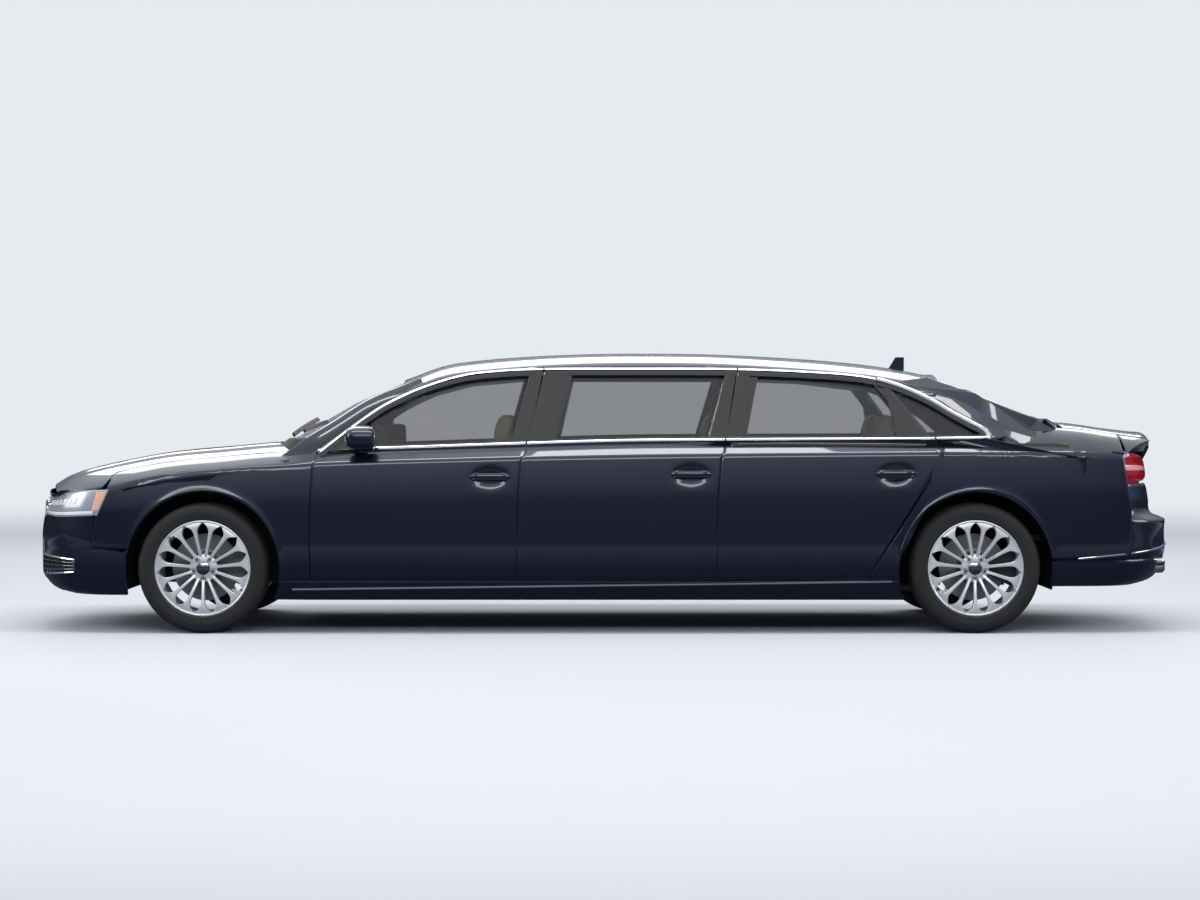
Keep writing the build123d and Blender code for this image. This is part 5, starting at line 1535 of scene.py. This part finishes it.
class Studio:
    """Camera, lights, floor and backdrop."""

    def build(self) -> None:
        """Sets the view of the photograph under soft light."""
        self.camera()
        self.world()
        self.floor()
        self.lights()

    def camera(self) -> None:
        """Camera square to the left side."""
        bpy.ops.object.camera_add(location=(-0.022, -15.93, 1.211), rotation=(math.radians(89.2), 0, 0))
        camera = bpy.context.object
        camera.data.lens, camera.data.sensor_width, camera.data.clip_end = 82.5, 36, 200
        bpy.context.scene.camera = camera
        bpy.context.scene.view_settings.view_transform = "Standard"

    def world(self) -> None:
        """Pale surroundings, brighter towards the camera's background."""
        world = bpy.data.worlds.new("surroundings")
        bpy.context.scene.world = world
        world.use_nodes = True
        tree = world.node_tree
        for node in list(tree.nodes):
            tree.nodes.remove(node)
        path = tree.nodes.new("ShaderNodeLightPath")
        soft, shown = tree.nodes.new("ShaderNodeBackground"), tree.nodes.new("ShaderNodeBackground")
        coords, split = tree.nodes.new("ShaderNodeTexCoord"), tree.nodes.new("ShaderNodeSeparateXYZ")
        ramp = tree.nodes.new("ShaderNodeValToRGB")
        tree.links.new(coords.outputs["Generated"], split.inputs[0])
        tree.links.new(split.outputs["Z"], ramp.inputs[0])
        stops = ((0.0, (0.010, 0.012, 0.018)), (0.055, (0.012, 0.014, 0.020)), (0.085, (0.16, 0.17, 0.22)),
                 (0.26, (0.26, 0.28, 0.34)), (0.50, (0.70, 0.74, 0.82)), (1.0, (1.0, 1.0, 1.0)))
        for place, colour in stops[1:-1]:
            ramp.color_ramp.elements.new(place)
        for element, (place, colour) in zip(ramp.color_ramp.elements, stops):
            element.position, element.color = place, (*colour, 1)
        tree.links.new(ramp.outputs[0], soft.inputs[0])
        soft.inputs[1].default_value = 0.9
        shown.inputs[0].default_value, shown.inputs[1].default_value = (0.80, 0.82, 0.86, 1), 1.0
        mix, out = tree.nodes.new("ShaderNodeMixShader"), tree.nodes.new("ShaderNodeOutputWorld")
        tree.links.new(path.outputs["Is Camera Ray"], mix.inputs[0])
        tree.links.new(soft.outputs[0], mix.inputs[1])
        tree.links.new(shown.outputs[0], mix.inputs[2])
        tree.links.new(mix.outputs[0], out.inputs[0])

    def floor(self) -> None:
        """Pale floor that fades into the surroundings; glossy rays see a painted reflection in its place,
        dark with a pale band of painted light.
        """
        bpy.ops.mesh.primitive_plane_add(size=120, location=(0, 0, 0))
        floor = bpy.context.object
        floor.name = "floor"
        ground = Shader("ground", base_color=(0.62, 0.64, 0.68, 1), roughness=0.8)
        ground.drive("Roughness", ground.noise(2.0) * 0.1 + 0.75)
        tree = ground.tree
        path, mix = tree.nodes.new("ShaderNodeLightPath"), tree.nodes.new("ShaderNodeMixShader")
        clear, fade = tree.nodes.new("ShaderNodeBsdfTransparent"), tree.nodes.new("ShaderNodeMixShader")
        # Painted reflection: glossy rays see an emission here, not the lit floor.
        dark, painted_reflection_bands = tree.nodes.new("ShaderNodeEmission"), tree.nodes.new("ShaderNodeValToRGB")
        split = tree.nodes.new("ShaderNodeSeparateXYZ")
        tree.links.new(ground.coords().socket, split.inputs[0])
        way = ground.node("ShaderNodeMath", {"operation": "ABSOLUTE"}, Socket(ground,
            split.outputs["Y"])) * 0.05
        tree.links.new(way.socket, painted_reflection_bands.inputs[0])
        # Colours of the painted reflection by distance |y| from the car's middle: dark to 1.8 m, a pale band
        # of painted light brightest near 4.8 m, dark again from 6 m.
        stops = ((0.0, (0.05, 0.06, 0.09)), (0.09, (0.05, 0.06, 0.09)), (0.17, (0.20, 0.23, 0.31)),
                 (0.24, (0.30, 0.33, 0.42)), (0.30, (0.02, 0.025, 0.04)), (0.60, (0.012, 0.015, 0.028)))
        for place, colour in stops[1:-1]:
            painted_reflection_bands.color_ramp.elements.new(place)
        for element, (place, colour) in zip(painted_reflection_bands.color_ramp.elements, stops):
            element.position, element.color = place, (*colour, 1)
        tree.links.new(painted_reflection_bands.outputs[0], dark.inputs[0])
        radius = ground.node("ShaderNodeVectorMath", {"operation": "LENGTH"}, ground.coords(), out="Value")
        edge = ground.node("ShaderNodeMapRange", {"interpolation_type": "SMOOTHSTEP"}, radius, 8.0, 22.0,
                           0.0, 1.0)
        # Glossy rays get the painted reflection, all other rays the lit floor.
        tree.links.new(path.outputs["Is Glossy Ray"], mix.inputs[0])
        tree.links.new(ground.surface.outputs[0], mix.inputs[1])
        tree.links.new(dark.outputs[0], mix.inputs[2])
        seen = edge * Socket(ground, path.outputs["Is Camera Ray"])
        tree.links.new(seen.socket, fade.inputs[0])
        tree.links.new(mix.outputs[0], fade.inputs[1])
        tree.links.new(clear.outputs[0], fade.inputs[2])
        tree.links.new(fade.outputs[0], tree.nodes["Material Output"].inputs[0])
        floor.data.materials.append(ground.material)

    def lights(self) -> None:
        """Broad lamps over and beside the car."""
        table = (("over", (0, -1.5, 6.5), (0, 0, 0.8), (8, 0.9), 240), ("near", (0, -9.5, 4.2), (0, 0,
            0.9), (11, 1.3), 250),
                 ("far", (0, 9, 5.5), (0, 0, 1.0), (12, 3), 300), ("front", (-9, -2, 3.5), (-2, 0, 0.7),
                                                                   (4, 3), 150),
                 ("tail", (9, -2, 3.5), (2, 0, 0.7), (4, 3), 150))
        for name, at, aim, size, power in table:
            bpy.ops.object.light_add(type="AREA", location=at)
            lamp = bpy.context.object
            lamp.name = f"lamp_{name}"
            lamp.data.shape, lamp.data.size, lamp.data.size_y = "RECTANGLE", *size
            lamp.data.energy = power
            lamp.rotation_euler = (Vector(aim) - Vector(at)).to_track_quat("-Z", "Y").to_euler()


class Carried:
    """Finishes for the CAD pieces that stay in sight."""

    by_slot = {"paint": "paint", "glass": "glass", "chrome": "chrome", "lamp_clear": "bezel",
               "lamp_red": "lamp_red", "trim_black": "trim_black", "steel": "steel", "cast": "cast",
               "alloy": "alloy", "tyre": "tyre", "leather": "leather", "cabin_dark": "cabin_dark"}

    def __init__(self, finishes: Finishes) -> None:
        """Keeps what its methods need."""
        self.finishes = finishes

    def build(self) -> None:
        """Puts a finish on every CAD piece by its slot in the record."""
        slots = {row["node"]: row["material_slot"] for row in frame["record"]["subparts"]}
        for node, obj in frame["nodes"].items():
            obj.data.materials.clear()
            obj.data.materials.append(self.finishes[self.by_slot[slots[node]]])


def main() -> None:
    """Builds the limousine and its studio in order."""
    logging.basicConfig(level=logging.INFO)
    bpy.ops.object.select_all(action="DESELECT")
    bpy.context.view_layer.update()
    finishes = Finishes()
    Carried(finishes).build()
    maker = Maker(finishes)
    for part in (Clamped(maker), Panels(maker), Wheels(maker), Trims(maker), Cabin(maker)):
        part.build()
        log.info("%s made, %d pieces so far", type(part).__name__, len(maker.made))
    Studio().build()


if __name__ == "__main__":
    main()
